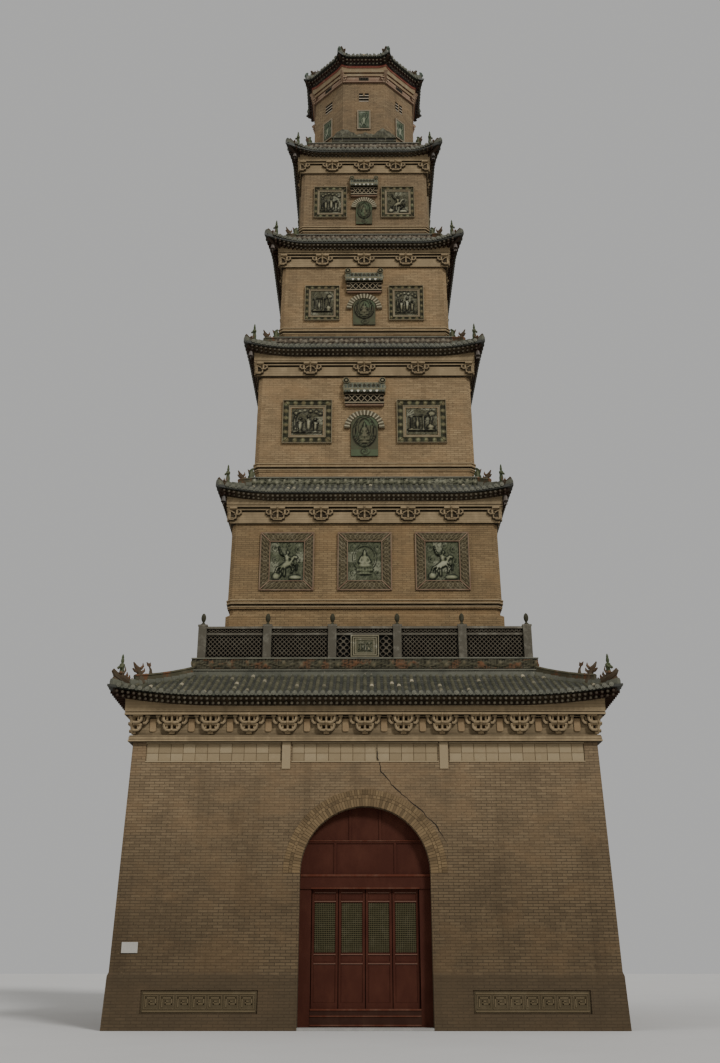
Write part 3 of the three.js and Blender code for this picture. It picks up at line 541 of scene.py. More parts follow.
# Painted work: the colour, the colour it fades to, roughness, shine, and the colour of dust and
# painted highlight on ledges, as in painted().
PAINTED = {
    "floor_slabs": ((0.26, 0.25, 0.23), (0.34, 0.33, 0.30), 0.9),
    "bell_metal": ((0.06, 0.05, 0.04), (0.13, 0.09, 0.06), 0.6),
    "rose_strip": ((0.165, 0.098, 0.058), (0.30, 0.235, 0.15), 0.9),
    "olive_strip": ((0.19, 0.150, 0.092), (0.26, 0.235, 0.15), 0.9, 0.2),
    # Near black: painted shade behind the hoods' lattices and under their tiles.
    "hood_ground": ((0.010, 0.009, 0.006), (0.018, 0.016, 0.010), 0.9, 0.05),
    "shadow_gap": ((0.008, 0.006, 0.004), (0.012, 0.009, 0.006), 1.0),
    "blank_tablet": ((0.40, 0.385, 0.34), (0.30, 0.28, 0.235), 0.6),
    "door_paint": ((0.046, 0.0098, 0.0036), (0.074, 0.0215, 0.0100), 0.75, 0.2, (0.155, 0.085, 0.058)),
    # Paler red for the beads: a painted highlight, with dust.
    "door_dust": ((0.085, 0.022, 0.010), (0.15, 0.085, 0.055), 0.85, 0.2),
    "threshold_paint": ((0.028, 0.0085, 0.0035), (0.050, 0.021, 0.011), 0.8, 0.2),
    "plaque_strip": ((0.205, 0.162, 0.105), (0.28, 0.23, 0.155), 0.9),
    "slot_shade": ((0.004, 0.004, 0.003), (0.008, 0.007, 0.005), 0.95, 0.0),
    "slot_sill": ((0.34, 0.29, 0.22), (0.26, 0.21, 0.145), 0.9, 0.2),
    "ridge_cells": ((0.026, 0.025, 0.020), (0.070, 0.065, 0.048), 0.9, 0.2),
}
# Glazed work: sound glaze, worn glaze and bare clay.
GLAZED = {
    "hood_tile": ((0.035, 0.045, 0.024), (0.085, 0.095, 0.058), (0.46, 0.44, 0.35)),
    "bud_tile": ((0.022, 0.045, 0.024), (0.055, 0.075, 0.042), (0.18, 0.17, 0.11)),
}


def look(name):
    """The finish of that name, made from its table when it is first asked for."""
    if isinstance(name, bpy.types.Material):
        return name
    if name in bpy.data.materials:
        return bpy.data.materials[name]
    for make, table in ((carved, CARVED), (painted, PAINTED), (glazed, GLAZED)):
        if name in table:
            return make(name, *table[name])


# Settings: the sizes and colours that a user would change.

def length(name, description, default):
    return FloatProperty(name=name, description=description, default=default, min=0.001, unit="LENGTH")


def hue(name, description, default):
    return FloatVectorProperty(name=name, description=description, default=default, subtype="COLOR", min=0,
                               max=1)


class PagodaBrickSettings(bpy.types.PropertyGroup):
    """Sizes and colours of the brickwork."""
    course: length("Course", "Height of one course of brick with its joint", 0.0715)
    brick: length("Brick", "Length of one brick with its joint", 0.26)
    light: hue("Light brick", "Colour of the paler bricks", (0.325, 0.226, 0.114))
    dark: hue("Dark brick", "Colour of the darker bricks", (0.225, 0.153, 0.077))
    mortar: hue("Mortar", "Colour of the joints", (0.120, 0.084, 0.046))
    frieze: hue("Frieze", "Colour of the smooth brick under the eaves", (0.315, 0.234, 0.132))


class PagodaTileSettings(bpy.types.PropertyGroup):
    """Sizes and colours of the tile skirts."""
    spacing: length("Rafter spacing", "Distance between the middles of two rafters", 0.154)
    tile: length("Tile length", "Length of a barrel tile that shows", 0.27)
    radius: length("Barrel radius", "Radius of a barrel tile", 0.062)
    rafter: length("Rafter radius", "Radius of a rafter end", 0.042)
    green: hue("Glaze", "Colour of sound glaze", (0.058, 0.063, 0.034))
    worn: hue("Worn glaze", "Colour of rubbed glaze", (0.135, 0.130, 0.090))
    bare: hue("Bare clay", "Colour where the glaze has broken away", (0.38, 0.33, 0.22))
    timber: hue("Rafter paint", "Colour of the rafters and boards", (0.040, 0.020, 0.012))


class PagodaStageSettings(bpy.types.PropertyGroup):
    """The camera's place and the studio light."""
    distance: length("Distance", "Distance from the camera to the tower's axis", 35.41)
    eye: length("Eye height", "Height of the camera above the ground", 1.6)
    tilt: FloatProperty(name="Tilt", description="Upward tilt of the camera", default=math.radians(22.06),
                        subtype="ANGLE")
    focal: FloatProperty(name="Focal length", description="Focal length over the frame's height",
                         default=0.99718)
    key: FloatProperty(name="Key light", description="Strength of the soft key light", default=2.15)
    fill: FloatProperty(name="Fill light", description="Strength of the pale surroundings", default=0.5)


def kept(names, finish):
    """Gives the CAD pieces that stay a new finish."""
    for name in names:
        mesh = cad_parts[name].data
        mesh.materials.clear()
        mesh.materials.append(look(finish))


# Tile skirts.

def named(names, row, **more):
    """A table's row, whose values are read by name."""
    return SimpleNamespace(**dict(zip(names.split(), row)), **more)


def skirt_of(name):
    """Sizes of a skirt: its level and half width come from the eave that carries it."""
    skirt = named(SKIRT_SIZES, SKIRTS[name], name=name, sides=OCTAGON if name == "lantern" else SQUARE)
    low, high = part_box(f"{name}_eave")
    skirt.base, skirt.foot = high.z + SEAM, low.z + SEAM
    skirt.half = high.y + skirt.margin
    skirt.run = skirt.half - skirt.ridge_half
    skirt.under = min(skirt.half, high.y)
    skirt.edge = TILE_EDGE + 0.38 * (0.06 - skirt.margin)
    skirt.spread = math.tan(math.pi / skirt.sides)
    return skirt


def side_steps():
    """Places across one side, closer together near its corners: sin of evenly spaced angles."""
    steps = 24
    return np.sin((np.arange(steps) / steps - 0.5) * math.pi)


def corner_rise(skirt, across):
    """How far the eave's corner lifts: lift times ((|across| - 0.6) / 0.4) squared."""
    return skirt.lift * np.clip((np.abs(across) - 0.6) / 0.4, 0, 1) ** 2


def band(sides, across, rows):
    """A closed ring round a tower of 4 or 8 sides. Each row is (half, z, tone), and half and z may
    change along the side: x = half tan(pi / sides) across, y = -half. The last row joins the first."""
    spread = math.tan(math.pi / sides)
    rows = [[part + 0 * across for part in row] for row in rows]
    strip = np.stack([np.stack([half * spread * across, -half, z], -1) for half, z, tone in rows], 1)
    tones = np.stack([tone for half, z, tone in rows], 1)
    points = around((strip.reshape(-1, 3), [], tones.ravel()), sides)[0]
    index = np.arange(len(points)).reshape(-1, len(rows))
    after = np.roll(index, -1, 0)
    cells = np.stack([index, after, np.roll(after, -1, 1), np.roll(index, -1, 1)], -1).reshape(-1, 4)
    return outward(points, [cells], np.tile(tones, (sides, 1)).ravel())


def eave_ring(skirt, cornice, red=0.0):
    """The eave: a brick face over the cornice, whose top rises with the corners of the tiles, a red
    board as high as red, then a soffit out to the tiles' under edge, darkened as painted shade."""
    across = side_steps()
    rise = corner_rise(skirt, across) * 0.85
    face, inner, out = skirt.face + rise, cornice - 0.4, skirt.under - 0.06
    rows = [(inner, skirt.foot, 0.1), (cornice, skirt.foot, 0.85), (cornice + 0.004, face, 0.85)]
    if red:
        rows += [(cornice + 0.03, face + 0.004, 0.5), (cornice + 0.035, face + red, 0.5)]
    rows += [(cornice + 0.006 + 0.6 * red, face + red + 0.002, 0.0),
             (out, np.maximum(skirt.base, skirt.face + red) + rise - 0.004, 0.16),
             (inner, skirt.base - 0.01, 0.1)]
    return band(skirt.sides, across, rows)


def slope(skirt, across, share):
    """A place on the front slope. across is x over the half length there, and share runs from the
    eave at 0 to the ridge at 1. The height rises as share to the power 1.12, and the corners lift and
    flare as ((|across| - 0.6) / 0.4) squared, which fades as (1 - share) squared."""
    across, share = np.broadcast_arrays(across, share)
    corner = np.clip((np.abs(across) - 0.6) / 0.4, 0, None) ** 2 * (1 - share) ** 2
    half = skirt.half + (skirt.ridge_half - skirt.half) * share
    foot = skirt.base + skirt.edge
    height = foot + (skirt.top - foot) * share ** 1.12 + skirt.lift * corner
    reach = half + skirt.flare * corner
    return np.stack([reach * skirt.spread * across, -reach, height], -1)


def tile_bed(skirt):
    """The bed under the tiles: the slope as a closed band, with its underside and a level top that
    runs in under the next storey."""
    across = side_steps()
    top = slope(skirt, across[:, None], np.linspace(0, 1, 9)[None])
    inner = max(0.08, min(skirt.ridge_half - 0.55, 4.0))
    rows = [(skirt.under - 0.05, skirt.base + corner_rise(skirt, across) * 0.85, 0.25),
            (-top[:, 0, 1], top[:, 0, 2] - skirt.edge + 0.01, 0.25)]
    rows += [(-top[:, i, 1], top[:, i, 2], 0.25) for i in range(top.shape[1])]
    if skirt.ridge_top > skirt.top:
        rows.append((skirt.ridge_half, skirt.ridge_top - 0.002, 0.25))
    rows += [(inner, skirt.ridge_top - 0.002, 0.25), (inner, skirt.base + 0.02, 0.25)]
    return band(skirt.sides, across, rows)


def barrel_places(skirt, pitch):
    """Values of x where the rows of barrel tiles run, evenly spaced about the middle."""
    reach = skirt.half * skirt.spread
    count = int((2 * reach - 0.12) / pitch)
    return (np.arange(count) - (count - 1) / 2) * pitch


def row_ends(skirt, x):
    """How far up the slope a row of tiles at x runs before it meets the hip."""
    return (skirt.half - np.abs(x) / skirt.spread) / skirt.run


def row_count(skirt, length):
    """How many tiles of that length lie between the eave and the ridge."""
    return max(2, round(math.hypot(skirt.run, skirt.top - skirt.base) / length))


def slope_frame(skirt, x, share):
    """Places on the slope at fixed x, with the unit vector that stands square to the slope."""
    half = skirt.half + (skirt.ridge_half - skirt.half) * share
    across = x / (half * skirt.spread)
    here = slope(skirt, across, share)
    here[..., 0] = x
    ahead = slope(skirt, across, share + 0.01)
    along = ahead - here
    along[..., 0] = 0
    along /= np.linalg.norm(along, axis=-1, keepdims=True)
    normal = np.stack([along[..., 0], -along[..., 2], along[..., 1]], -1)
    return here, normal


def barrel_rows(skirt, tiles, rng):
    """Barrel tiles: half-round rows that run up the slope at fixed x as far as the hip. Each tile
    is a little wider at its foot than at its head, where the next one laps over it."""
    x = barrel_places(skirt, skirt.pitch)
    end = np.clip(row_ends(skirt, x), 0.04, 1)
    counts = np.maximum(1, np.round(end * row_count(skirt, tiles.tile))).astype(int)
    angle = np.linspace(0, math.pi, 5)
    arc = np.stack([np.cos(angle), np.sin(angle) * 0.95 - 0.08], -1)
    forms = []
    for count in np.unique(counts):
        chosen = counts == count
        step = np.repeat(np.arange(count + 1), 2)[1:-1] / count
        share = step * end[chosen][:, None]
        here, normal = slope_frame(skirt, x[chosen][:, None] + 0 * share, share)
        section = arc * (np.tile([1.10, 0.94], count) * tiles.radius)[:, None, None]
        tone = np.repeat(rng.random((chosen.sum(), count)), 2, axis=1)[..., None]
        forms.append(tube(here, RIGHT, normal, section, tone=tone))
    return joined(forms)


def eave_ends(skirt, tiles, rng):
    """The round ends of the barrel rows, and between them drip tiles with a pointed lower edge."""
    x = barrel_places(skirt, skirt.pitch)
    start, _ = slope_frame(skirt, x, np.zeros(len(x)))
    edge = circle(8) * tiles.radius * 1.08
    disc = joined([plate(edge, (-0.030, 0.004)), plate(edge[::2] * 0.5, (-0.042, -0.02))])
    ends = repeated(disc, start + (0, 0.004, 0.008), 0.5 + 0.4 * rng.random(len(x)))
    between = (x[:-1] + x[1:]) / 2
    gap, _ = slope_frame(skirt, between, np.zeros(len(between)))
    w = (skirt.pitch - 0.07) / 2
    outline = [(-w, 0.0), (-w, -0.03), (-w * 0.55, -0.058), (0, -0.074), (w * 0.55, -0.058), (w, -0.03),
               (w, 0.0)]
    drips = repeated(plate(outline, (-0.016, 0.0)), gap, rng.random(len(between)) * 0.35)
    return joined([ends, drips])


def pan_ribs(skirt, tiles, rng):
    """Laps of the pan tiles: a low sill across each pan at every tile, so that the pans read as
    separate tiles."""
    x = barrel_places(skirt, skirt.pitch)
    between = (x[:-1] + x[1:]) / 2
    count = row_count(skirt, tiles.tile * 0.8)
    share = (np.arange(count) + 0.35) / count
    grid_x, grid_share = np.meshgrid(between, share, indexing="ij")
    shown = grid_share < row_ends(skirt, between)[:, None] - 0.05
    here, _ = slope_frame(skirt, grid_x[shown], grid_share[shown])
    w = skirt.pitch / 2 - tiles.radius + 0.012
    sill = block((-w, w), (-0.035, 0.035), (-0.02, 0.016))
    return repeated(sill, here, rng.random(len(here)) * 0.8)


def rafter_rows(skirt, tiles):
    """Two rows of round rafters under the tile edge, one straight under the other and set back. Near
    the corners they rise with the eave and lie in its shade."""
    x = barrel_places(skirt, tiles.spacing)
    size = np.array([0.9, 0.9, 1.1, 0.55]) * tiles.rafter
    forms = []
    for row, drop in enumerate(skirt.rafters):
        reach = skirt.half - 0.05 - 0.10 * row
        corner = np.clip((np.abs(x) / reach / skirt.spread - 0.6) / 0.4, 0, 1) ** 2
        level = skirt.base - drop + skirt.lift * 0.85 * corner
        out = reach + skirt.flare * corner
        back = np.minimum(np.maximum(reach - 0.62, np.abs(x) / skirt.spread * 0.9), out - 0.12)
        ends = np.stack([back, out - 0.001, out, out + 0.012], 1)
        path = np.stack([np.repeat(x[:, None], 4, 1), -ends, np.repeat(level[:, None], 4, 1)], -1)
        path[:, 0, 2] += 0.05
        bright = 0.62 + 0.38 * np.random.default_rng(row + len(x)).random(len(x))
        # Tone 1 at the tip of each end paints its highlight; near the corners the tone falls, painted shade
        # of the eave.
        tone = np.array([0.0, 0.0, 0.5, 1.0]) * ((1 - 0.55 * corner) * bright)[:, None]
        section = size[:, None, None] * circle(6, 0.5)
        forms.append(tube(path, RIGHT, UP, section, tone=tone[..., None]))
    return joined(forms)


# Hips, figures and ridge bands.

def limb(path, radii, steps=6, flat=1.0, tone=0.5):
    """A round limb in the XZ plane: a circle of each radius stands square to the path, and flat
    narrows it along Y. Points of two numbers lie at y = 0."""
    path = np.asarray(path, float)
    if path.shape[1] == 2:
        path = np.insert(path, 1, 0, axis=1)
    along = np.gradient(path, axis=0)
    along /= np.linalg.norm(along, axis=-1, keepdims=True)
    up = np.cross(along, (0, 1, 0))
    up /= np.linalg.norm(up, axis=-1, keepdims=True)
    profile = np.asarray(radii, float)[:, None, None] * (circle(steps) * (flat, 1))
    return tube(path, np.cross(up, along), up, profile, tone=tone)


def hip_point(skirt, inset):
    """A place on the hip line, inset metres in from the tile edge."""
    share = np.atleast_1d(inset / skirt.run)
    return slope(skirt, np.ones(len(share)), np.clip(share, 0, 1))


def at_hip(skirt, form, inset, rise=0.0):
    """Sets a form made with +X looking out on the front right hip, and on all the others."""
    place = hip_point(skirt, inset)[0] + (0, 0, rise)
    turn = math.atan2(place[1], place[0])
    return around(moved(spun(form, turn), place), skirt.sides)


def across_hip(skirt, inset=0.05):
    """The level direction across the front right hip."""
    x, y, _ = hip_point(skirt, inset)[0]
    return np.array([-y, x, 0]) / math.hypot(x, y)


def hip_bars(skirt):
    """Hip ridges: a bar with a rounded top, carried up the hip in short lapping lengths."""
    wide, high = 0.075, 0.15
    count = max(4, round(skirt.run * 1.45 / 0.26))
    step = np.repeat(np.arange(count + 1), 2)[1:-1] / count
    path = slope(skirt, np.ones(len(step)), 0.04 + 0.96 * step)
    laps = np.tile([1.07, 0.95], count)[:, None, None]
    profile = np.array([(-1, -0.06), (1, -0.06), (1, high * 0.62), (0.55, high), (-0.55, high),
                        (-1, high * 0.62)])
    profile *= (wide, 1)
    return around(tube(path, across_hip(skirt), UP, profile * laps, tone=0.35), skirt.sides)


def upper_hip(skirt):
    """The taller stretch of each hip, from the beast's seat up to the ridge band."""
    inset, height = 0.55, 0.24
    path = hip_point(skirt, np.linspace(inset, skirt.run, 6))
    profile = [(-0.06, 0), (0.06, 0), (0.06, height), (0.085, height), (0.05, height + 0.05),
               (-0.05, height + 0.05), (-0.085, height), (-0.06, height)]
    return around(tube(path, across_hip(skirt, inset), UP, profile, tone=0.5), skirt.sides)


def spikes(count, start, step, thick, flat):
    """A mane: each spike runs through three points (x, z) and stands one step on from the last."""
    start, step = np.array(start), np.array(step)
    return [limb(start + step * i, [thick, 0.035, 0.01], 5, flat, 0.8) for i in range(count)]


def dragon_head(size=1.0):
    """A beast's head that ends a hip: skull and raised snout, lower jaw, horns, brow and mane."""
    skull = limb([(-0.30, 0.02), (-0.14, 0.10), (0.0, 0.16), (0.11, 0.20), (0.19, 0.29), (0.17, 0.33)],
                 [0.07, 0.115, 0.12, 0.085, 0.055, 0.02], 8, 0.8, 0.4)
    jaw = limb([(-0.08, 0.02), (0.05, 0.05), (0.15, 0.10), (0.19, 0.12)], [0.07, 0.065, 0.045, 0.02], 6,
               0.9, 0.6)
    horn = limb([(-0.05, 0.06, 0.24), (-0.10, 0.07, 0.33), (-0.08, 0.08, 0.42)], [0.03, 0.022, 0.008], 5,
                1.0, 0.7)
    brow = turned_profile([(0.015, -0.035), (0.038, -0.015), (0.038, 0.015), (0.015, 0.035)], 6, tone=0.95)
    pairs = [mirrored(form, ACROSS_Y) for form in (horn, moved(brow, (0.03, 0.085, 0.25)))]
    mane = spikes(3, [(-0.14, 0.16), (-0.20, 0.25), (-0.19, 0.32)],
                  [(-0.05, -0.03), (-0.07, -0.05), (-0.08, -0.06)],
                  0.05, 0.8)
    return scaled(joined([skull, jaw, *pairs, *mane]), size)


def robed_figure(size=1.0):
    """A small standing figure in a long robe and tall cap, on a low seat."""
    robe = turned_profile([(0.075, 0.0), (0.09, 0.05), (0.07, 0.10), (0.075, 0.2), (0.055, 0.31),
                           (0.075, 0.38), (0.07, 0.43), (0.03, 0.46), (0.045, 0.50), (0.042, 0.55),
                           (0.03, 0.58), (0.035, 0.61), (0.012, 0.68)], 8, 0.8, 0.45)
    sleeve = limb([(0.0, 0.06, 0.41), (0.06, 0.075, 0.34), (0.10, 0.03, 0.33)], [0.03, 0.035, 0.02], 5, 1.0,
                  0.65)
    return scaled(joined([robe, mirrored(sleeve, ACROSS_Y)]), size)


def hip_beast(size=1.0):
    """A beast with open jaws and a spiked mane, rising from the hip on a curved neck."""
    neck = limb([(-0.16, -0.02), (-0.05, 0.12), (-0.04, 0.24), (0.05, 0.34)], [0.11, 0.10, 0.085, 0.07], 8,
                0.8, 0.5)
    upper = limb([(0.0, 0.33), (0.10, 0.40), (0.17, 0.50)], [0.07, 0.05, 0.018], 6, 0.9, 0.6)
    lower = limb([(0.0, 0.28), (0.11, 0.28), (0.19, 0.33)], [0.06, 0.045, 0.018], 6, 0.9, 0.6)
    mane = spikes(4, [(-0.06, 0.36), (-0.13, 0.45), (-0.12, 0.53)],
                  [(-0.03, -0.10), (-0.045, -0.12), (-0.06, -0.13)],
                  0.05, 0.7)
    return scaled(joined([neck, upper, lower, *mane]), size)


def hip_fish(size=1.0):
    """A small fish that stands on its head, its tail turned outwards."""
    body = limb([(0.02, 0.0), (-0.01, 0.08), (0.0, 0.16), (0.05, 0.24)], [0.035, 0.045, 0.032, 0.015], 6,
                0.8, 0.5)
    fin = [(0.03, 0.21), (0.10, 0.24), (0.13, 0.33), (0.06, 0.30), (0.02, 0.34), (0.0, 0.25)]
    return scaled(joined([body, plate(fin, (-0.012, 0.012), 0.7)]), size)


def end_leaf(size=1.0):
    """A scrolled leaf that ends the ridge band: a lobed outline with a raised spine."""
    outline = [(-0.17, 0), (0.15, 0), (0.19, 0.14), (0.13, 0.24), (0.17, 0.36), (0.10, 0.50), (0.0, 0.60),
               (-0.10, 0.57), (-0.03, 0.47), (-0.10, 0.42), (-0.16, 0.34), (-0.11, 0.24), (-0.18, 0.14)]
    spine = limb([(0.0, 0.02), (0.06, 0.2), (0.04, 0.38), (-0.03, 0.52)], [0.09, 0.085, 0.075, 0.02], 6,
                 1.1, 0.8)
    return scaled(joined([plate(outline, (-0.045, 0.045), 0.4), spine]), size)


def wind_bell():
    """A cast bell on a short rod, with a flat clapper plate below it, hung from its top at the origin."""
    bell = turned_profile([(0.012, -0.10), (0.05, -0.115), (0.065, -0.16), (0.075, -0.24), (0.095, -0.30),
                           (0.08, -0.30), (0.06, -0.24), (0.02, -0.14)], 8)
    rod = turned_profile([(0.008, 0.0), (0.008, -0.34)], 5)
    clapper = plate([(-0.05, -0.34), (0.05, -0.34), (0.06, -0.42), (0.0, -0.39), (-0.06, -0.42)],
                    (-0.006, 0.006))
    return joined([bell, rod, clapper])


def corner_beam(skirt):
    """The beam under each corner: it slopes up from the frieze to just inside the tile tip."""
    tip = hip_point(skirt, 0.05)[0]
    foot = hip_point(skirt, 1.0)[0] * (1, 1, 0) + (0, 0, skirt.base - 0.14)
    head = tip * (0.985, 0.985, 1) + (0, 0, -0.10)
    middle = (foot + head) / 2 + (0, 0, -0.05)
    profile = [(-0.055, -0.08), (0.055, -0.08), (0.055, 0.08), (-0.055, 0.08)]
    return around(tube([foot, middle, head], across_hip(skirt), UP, profile, tone=0.3), skirt.sides)


def shaded(height, floor=0.42, top=0.40, edge=0.9):
    """Tone of a carved surface: a middle tone that lightens with height, painted light on the raised
    parts, and darkens where the surface is steep, painted shade round the edge of each form."""
    slopes = np.hypot(*np.gradient(height))
    return np.clip(floor + top * height - edge * np.clip(slopes * 1.8 - 0.12, 0, 0.6), 0, 1)


def vine(x, z, pitch, swing, bloom):
    """Scroll ornament, from 0 on its ground to 1 on its top: a stem that waves as
    swing sin(2 pi x / pitch), and in each bend a rosette whose edge swells five times round it."""
    stem = np.exp(-(((z - swing * np.sin(TURN * x / pitch)) / (bloom * 0.22)) ** 2))
    leaf = np.exp(-(((z + swing * 0.55 * np.sin(2 * TURN * x / pitch)) / (bloom * 0.18)) ** 2)) * 0.7
    bend = np.floor(2 * x / pitch)
    centre_x = (bend + 0.5) * pitch / 2
    centre_z = -np.where(bend % 2 == 0, 1.0, -1.0) * swing * 0.55
    dx, dz = x - centre_x, z - centre_z
    radius = np.hypot(dx, dz)
    petals = bloom * (0.80 + 0.20 * np.cos(5 * np.arctan2(dz, dx)))
    flower = np.sqrt(np.clip(1 - (radius / petals) ** 2, 0, 1))
    heart = np.exp(-((radius / (bloom * 0.25)) ** 2)) * 0.4
    return np.clip(np.maximum(np.maximum(stem * 0.75, leaf), flower) + heart, 0, 1)


def ridge_relief(skirt, pitch):
    """The ridge band's carved face: a vine in low relief. On the ground skirt a plain band runs
    under it."""
    low = skirt.top + (0.19 if skirt.name == "ground" else -0.02)
    high = skirt.ridge_top - 0.045
    half = skirt.ridge_half + 0.012
    x = np.linspace(-half, half, int(2 * half / 0.038))[:, None]
    middle, rise = (low + high) / 2, (high - low) / 2
    z = np.linspace(-rise, rise, 10)[None]
    fine = 0.6 * np.abs(np.sin(TURN * x / 0.17 + 2 * np.sin(5 * x))
                        * np.cos(TURN * z / 0.15 + 2 * np.sin(7 * x)))
    height = np.maximum(vine(x, z, pitch, rise * 0.42, rise * 0.72), fine)
    height = height * np.clip((rise - np.abs(z)) / 0.02, 0.3, 1)
    return around(relief(x, z + middle, half + 0.012 + 0.05 * height, half - 0.03,
                         shaded(height, 0.12, 0.88, 0.6)))


def ridge_coping(skirt):
    """The coping of the ridge band, and the plain band at the foot of the ground skirt's."""
    half = skirt.ridge_half
    top = skirt.ridge_top
    bars = [ring_bar(half, top - 0.042, top - 0.010, 0.055, tone=0.9)]
    if skirt.name == "ground":
        bars.append(ring_bar(half, skirt.top - 0.02, skirt.top + 0.15, 0.035, tone=0.35))
        bars.append(ring_bar(half, skirt.top + 0.15, skirt.top + 0.185, 0.065, tone=0.7))
    return joined(bars)


# Walls, friezes and brackets.

# Walls: level and half width of the foot, then of the head.
WALLS = {
    "ground": (1.343, 6.480, 7.160, 6.352),
    "storey2": (11.95, 4.250, 14.49, 4.218),
    "storey3": (16.90, 3.662, 20.19, 3.628),
    "storey4": (22.56, 3.027, 25.18, 2.995),
    "storey5": (27.44, 2.447, 29.99, 2.420),
    "lantern": (32.24, 2.050, 34.96, 2.020),
}
# Friezes: half widths of the frieze and of its cornice, levels of its head and foot, and the places of
# its brackets along the side.
FRIEZES = {
    "storey2": (4.295, 4.40, 15.075, 14.50, (-2.77, -1.385, 0, 1.385, 2.77)),
    "storey3": (3.698, 3.795, 20.757, 20.22, (-1.85, 0, 1.85)),
    "storey4": (3.062, 3.16, 25.715, 25.17, (-1.53, 0, 1.53)),
    "storey5": (2.482, 2.57, 30.535, 29.97, (-1.23, 0, 1.23)),
}
CHAMFER = 0.14


def wall_half(name, z):
    """Half width of a battered wall at height z, on a straight line from its foot to its head."""
    low, foot, high, head = WALLS[name]
    return foot + (head - foot) * (z - low) / (high - low)


def moulding(levels, sides=SQUARE, chamfer=0.0):
    """A ring whose outer outline is levels of (half, z, tone), carried round the corners. Each
    corner of a chamfered square has two points, drawn back by chamfer along one side or the other."""
    levels = np.asarray(levels, float)
    out = corners_out(sides)
    path = out * 0
    if chamfer:
        out = np.repeat(np.round(out), 2, axis=0)
        path = -chamfer * out * np.tile([(0, 1, 0), (1, 0, 0), (1, 0, 0), (0, 1, 0)], (2, 1))
    back = levels[:, 0].min() - 0.35
    profile = np.concatenate([[(back, levels[0, 1])], levels[:, :2], [(back, levels[-1, 1])]])
    tone = np.concatenate([[0.1], levels[:, 2], [0.1]])
    return tube(path, out, UP, profile, closed=True, tone=tone)


def storey_base(name):
    """The mouldings at the foot of a storey's wall: three rolls with grooves between them, dark with
    painted shade.
    """
    foot, half = WALLS[name][:2]
    rows = [(-0.30, -0.02, 0.7), (-0.292, -0.035, 0.0), (-0.238, -0.035, 0.0), (-0.234, 0.012, 0.9),
            (-0.198, 0.014, 0.9), (-0.194, -0.02, 0.0), (-0.134, -0.02, 0.0), (-0.130, 0.034, 0.9),
            (-0.092, 0.036, 0.9), (-0.088, 0.0, 0.0), (-0.032, 0.0, 0.0), (-0.028, 0.044, 0.9),
            (0.006, 0.040, 0.9), (0.012, 0.008, 0.7)]
    return moulding([(half + out, foot + up, tone) for up, out, tone in rows], chamfer=CHAMFER)


def frieze_head(half, cornice, head):
    """The head of a frieze from below: a groove, a rail, a second groove, then the fillet whose top
    is at head, and a thin line over it; the grooves and the line are dark with painted shade."""
    rows = [(0, -0.196, 0.8), (0, -0.193, 0.0), (-0.035, -0.188, 0.0), (-0.035, -0.146, 0.0),
            (0.04, -0.143, 0.0), (0.045, -0.138, 0.85), (0.045, -0.092, 0.85), (0.04, -0.088, 0.0),
            (-0.02, -0.086, 0.0), (-0.02, -0.056, 0.0)]
    rows = [(half + out, head + up, tone) for out, up, tone in rows]
    return rows + [(cornice - 0.004, head - 0.054, 0.0), (cornice, head - 0.048, 0.95),
                   (cornice, head, 0.95), (cornice - 0.004, head + 0.003, 0.0),
                   (cornice - 0.04, head + 0.004, 0.0), (cornice - 0.04, head + 0.026, 0.0),
                   (cornice - 0.004, head + 0.027, 0.1)]


def bent_bar(line, thick, depth, tone=(0.15, 0.15, 0.9, 0.75)):
    """A square bar along a line of (x, z) points on the wall at y = 0. At each bend it is mitred: its
    side is the sum of the two segments' normals over one plus their dot product."""
    line = np.asarray(line, float)
    step = np.diff(line, axis=0)
    step /= np.linalg.norm(step, axis=1, keepdims=True)
    square = np.stack([-step[:, 1], step[:, 0]], -1)
    before, after = np.concatenate([square[:1], square]), np.concatenate([square, square[-1:]])
    mitre = (before + after) / (1 + np.maximum((before * after).sum(1), -0.2))[:, None]
    path = spots(line[:, 0], 0, line[:, 1])
    side = spots(mitre[:, 0], 0, mitre[:, 1])
    # The section's corner tones paint shade: dark towards the wall, lighter on the front.
    profile = [(-thick, -0.02), (thick, -0.02), (thick, depth), (-thick, depth)]
    return tube(path, side, FRONT, profile, tone=np.array(tone))


def noses(levels, wide=0.03):
    """The spine of a bracket: at each (z, depth) it stands out from the wall by depth."""
    path = [(0, -depth / 2, z) for z, depth in levels]
    square = np.array([(-1, -1), (1, -1), (1, 1), (-1, 1)])
    profile = [square * (wide, depth / 2) for z, depth in levels]
    return tube(path, RIGHT, (0, 1, 0), profile, tone=0.7)


def bracket(arms, blocks, board, eyes, spine, board_tone=0.5):
    """Half a bracket, from its middle to its right end: bent bars as (points, thickness, depth),
    blocks as (x0, x1, z0, z1, depth), a board behind them, and dark eyes as (x, z, wide, high), which
    stand in painted shade for the voids sunk in it. The bars are dark underneath and light along their
    top, painted shade and highlight. Gives the whole bracket, its right half, and the lumps of a
    corner, which stand out along the corner's diagonal."""
    half = [bent_bar(line, thick, depth, (0.0, 0.3, 0.95, 0.35)) for line, thick, depth in arms]
    half += [block((x0, x1), (-depth, 0.02), (z0, z1), 0.85) for x0, x1, z0, z1, depth in blocks]
    corner = np.array([(-1, -0.4), (0, -1), (1, -0.4), (1, 0.4), (0, 1), (-1, 0.4)])
    for x, z, wide, high in eyes:
        half.append(plate(corner * (wide, high) + (x, z), (-0.040, 0.0), 0.0))
    half = joined([*half, plate(board, (-0.034, 0.02), board_tone)])
    lumps = spun(noses([(z, depth * 0.6) for z, depth in spine], 0.05), math.pi / 4)
    return joined([mirrored(half), noses(spine, 0.024)]), half, lumps


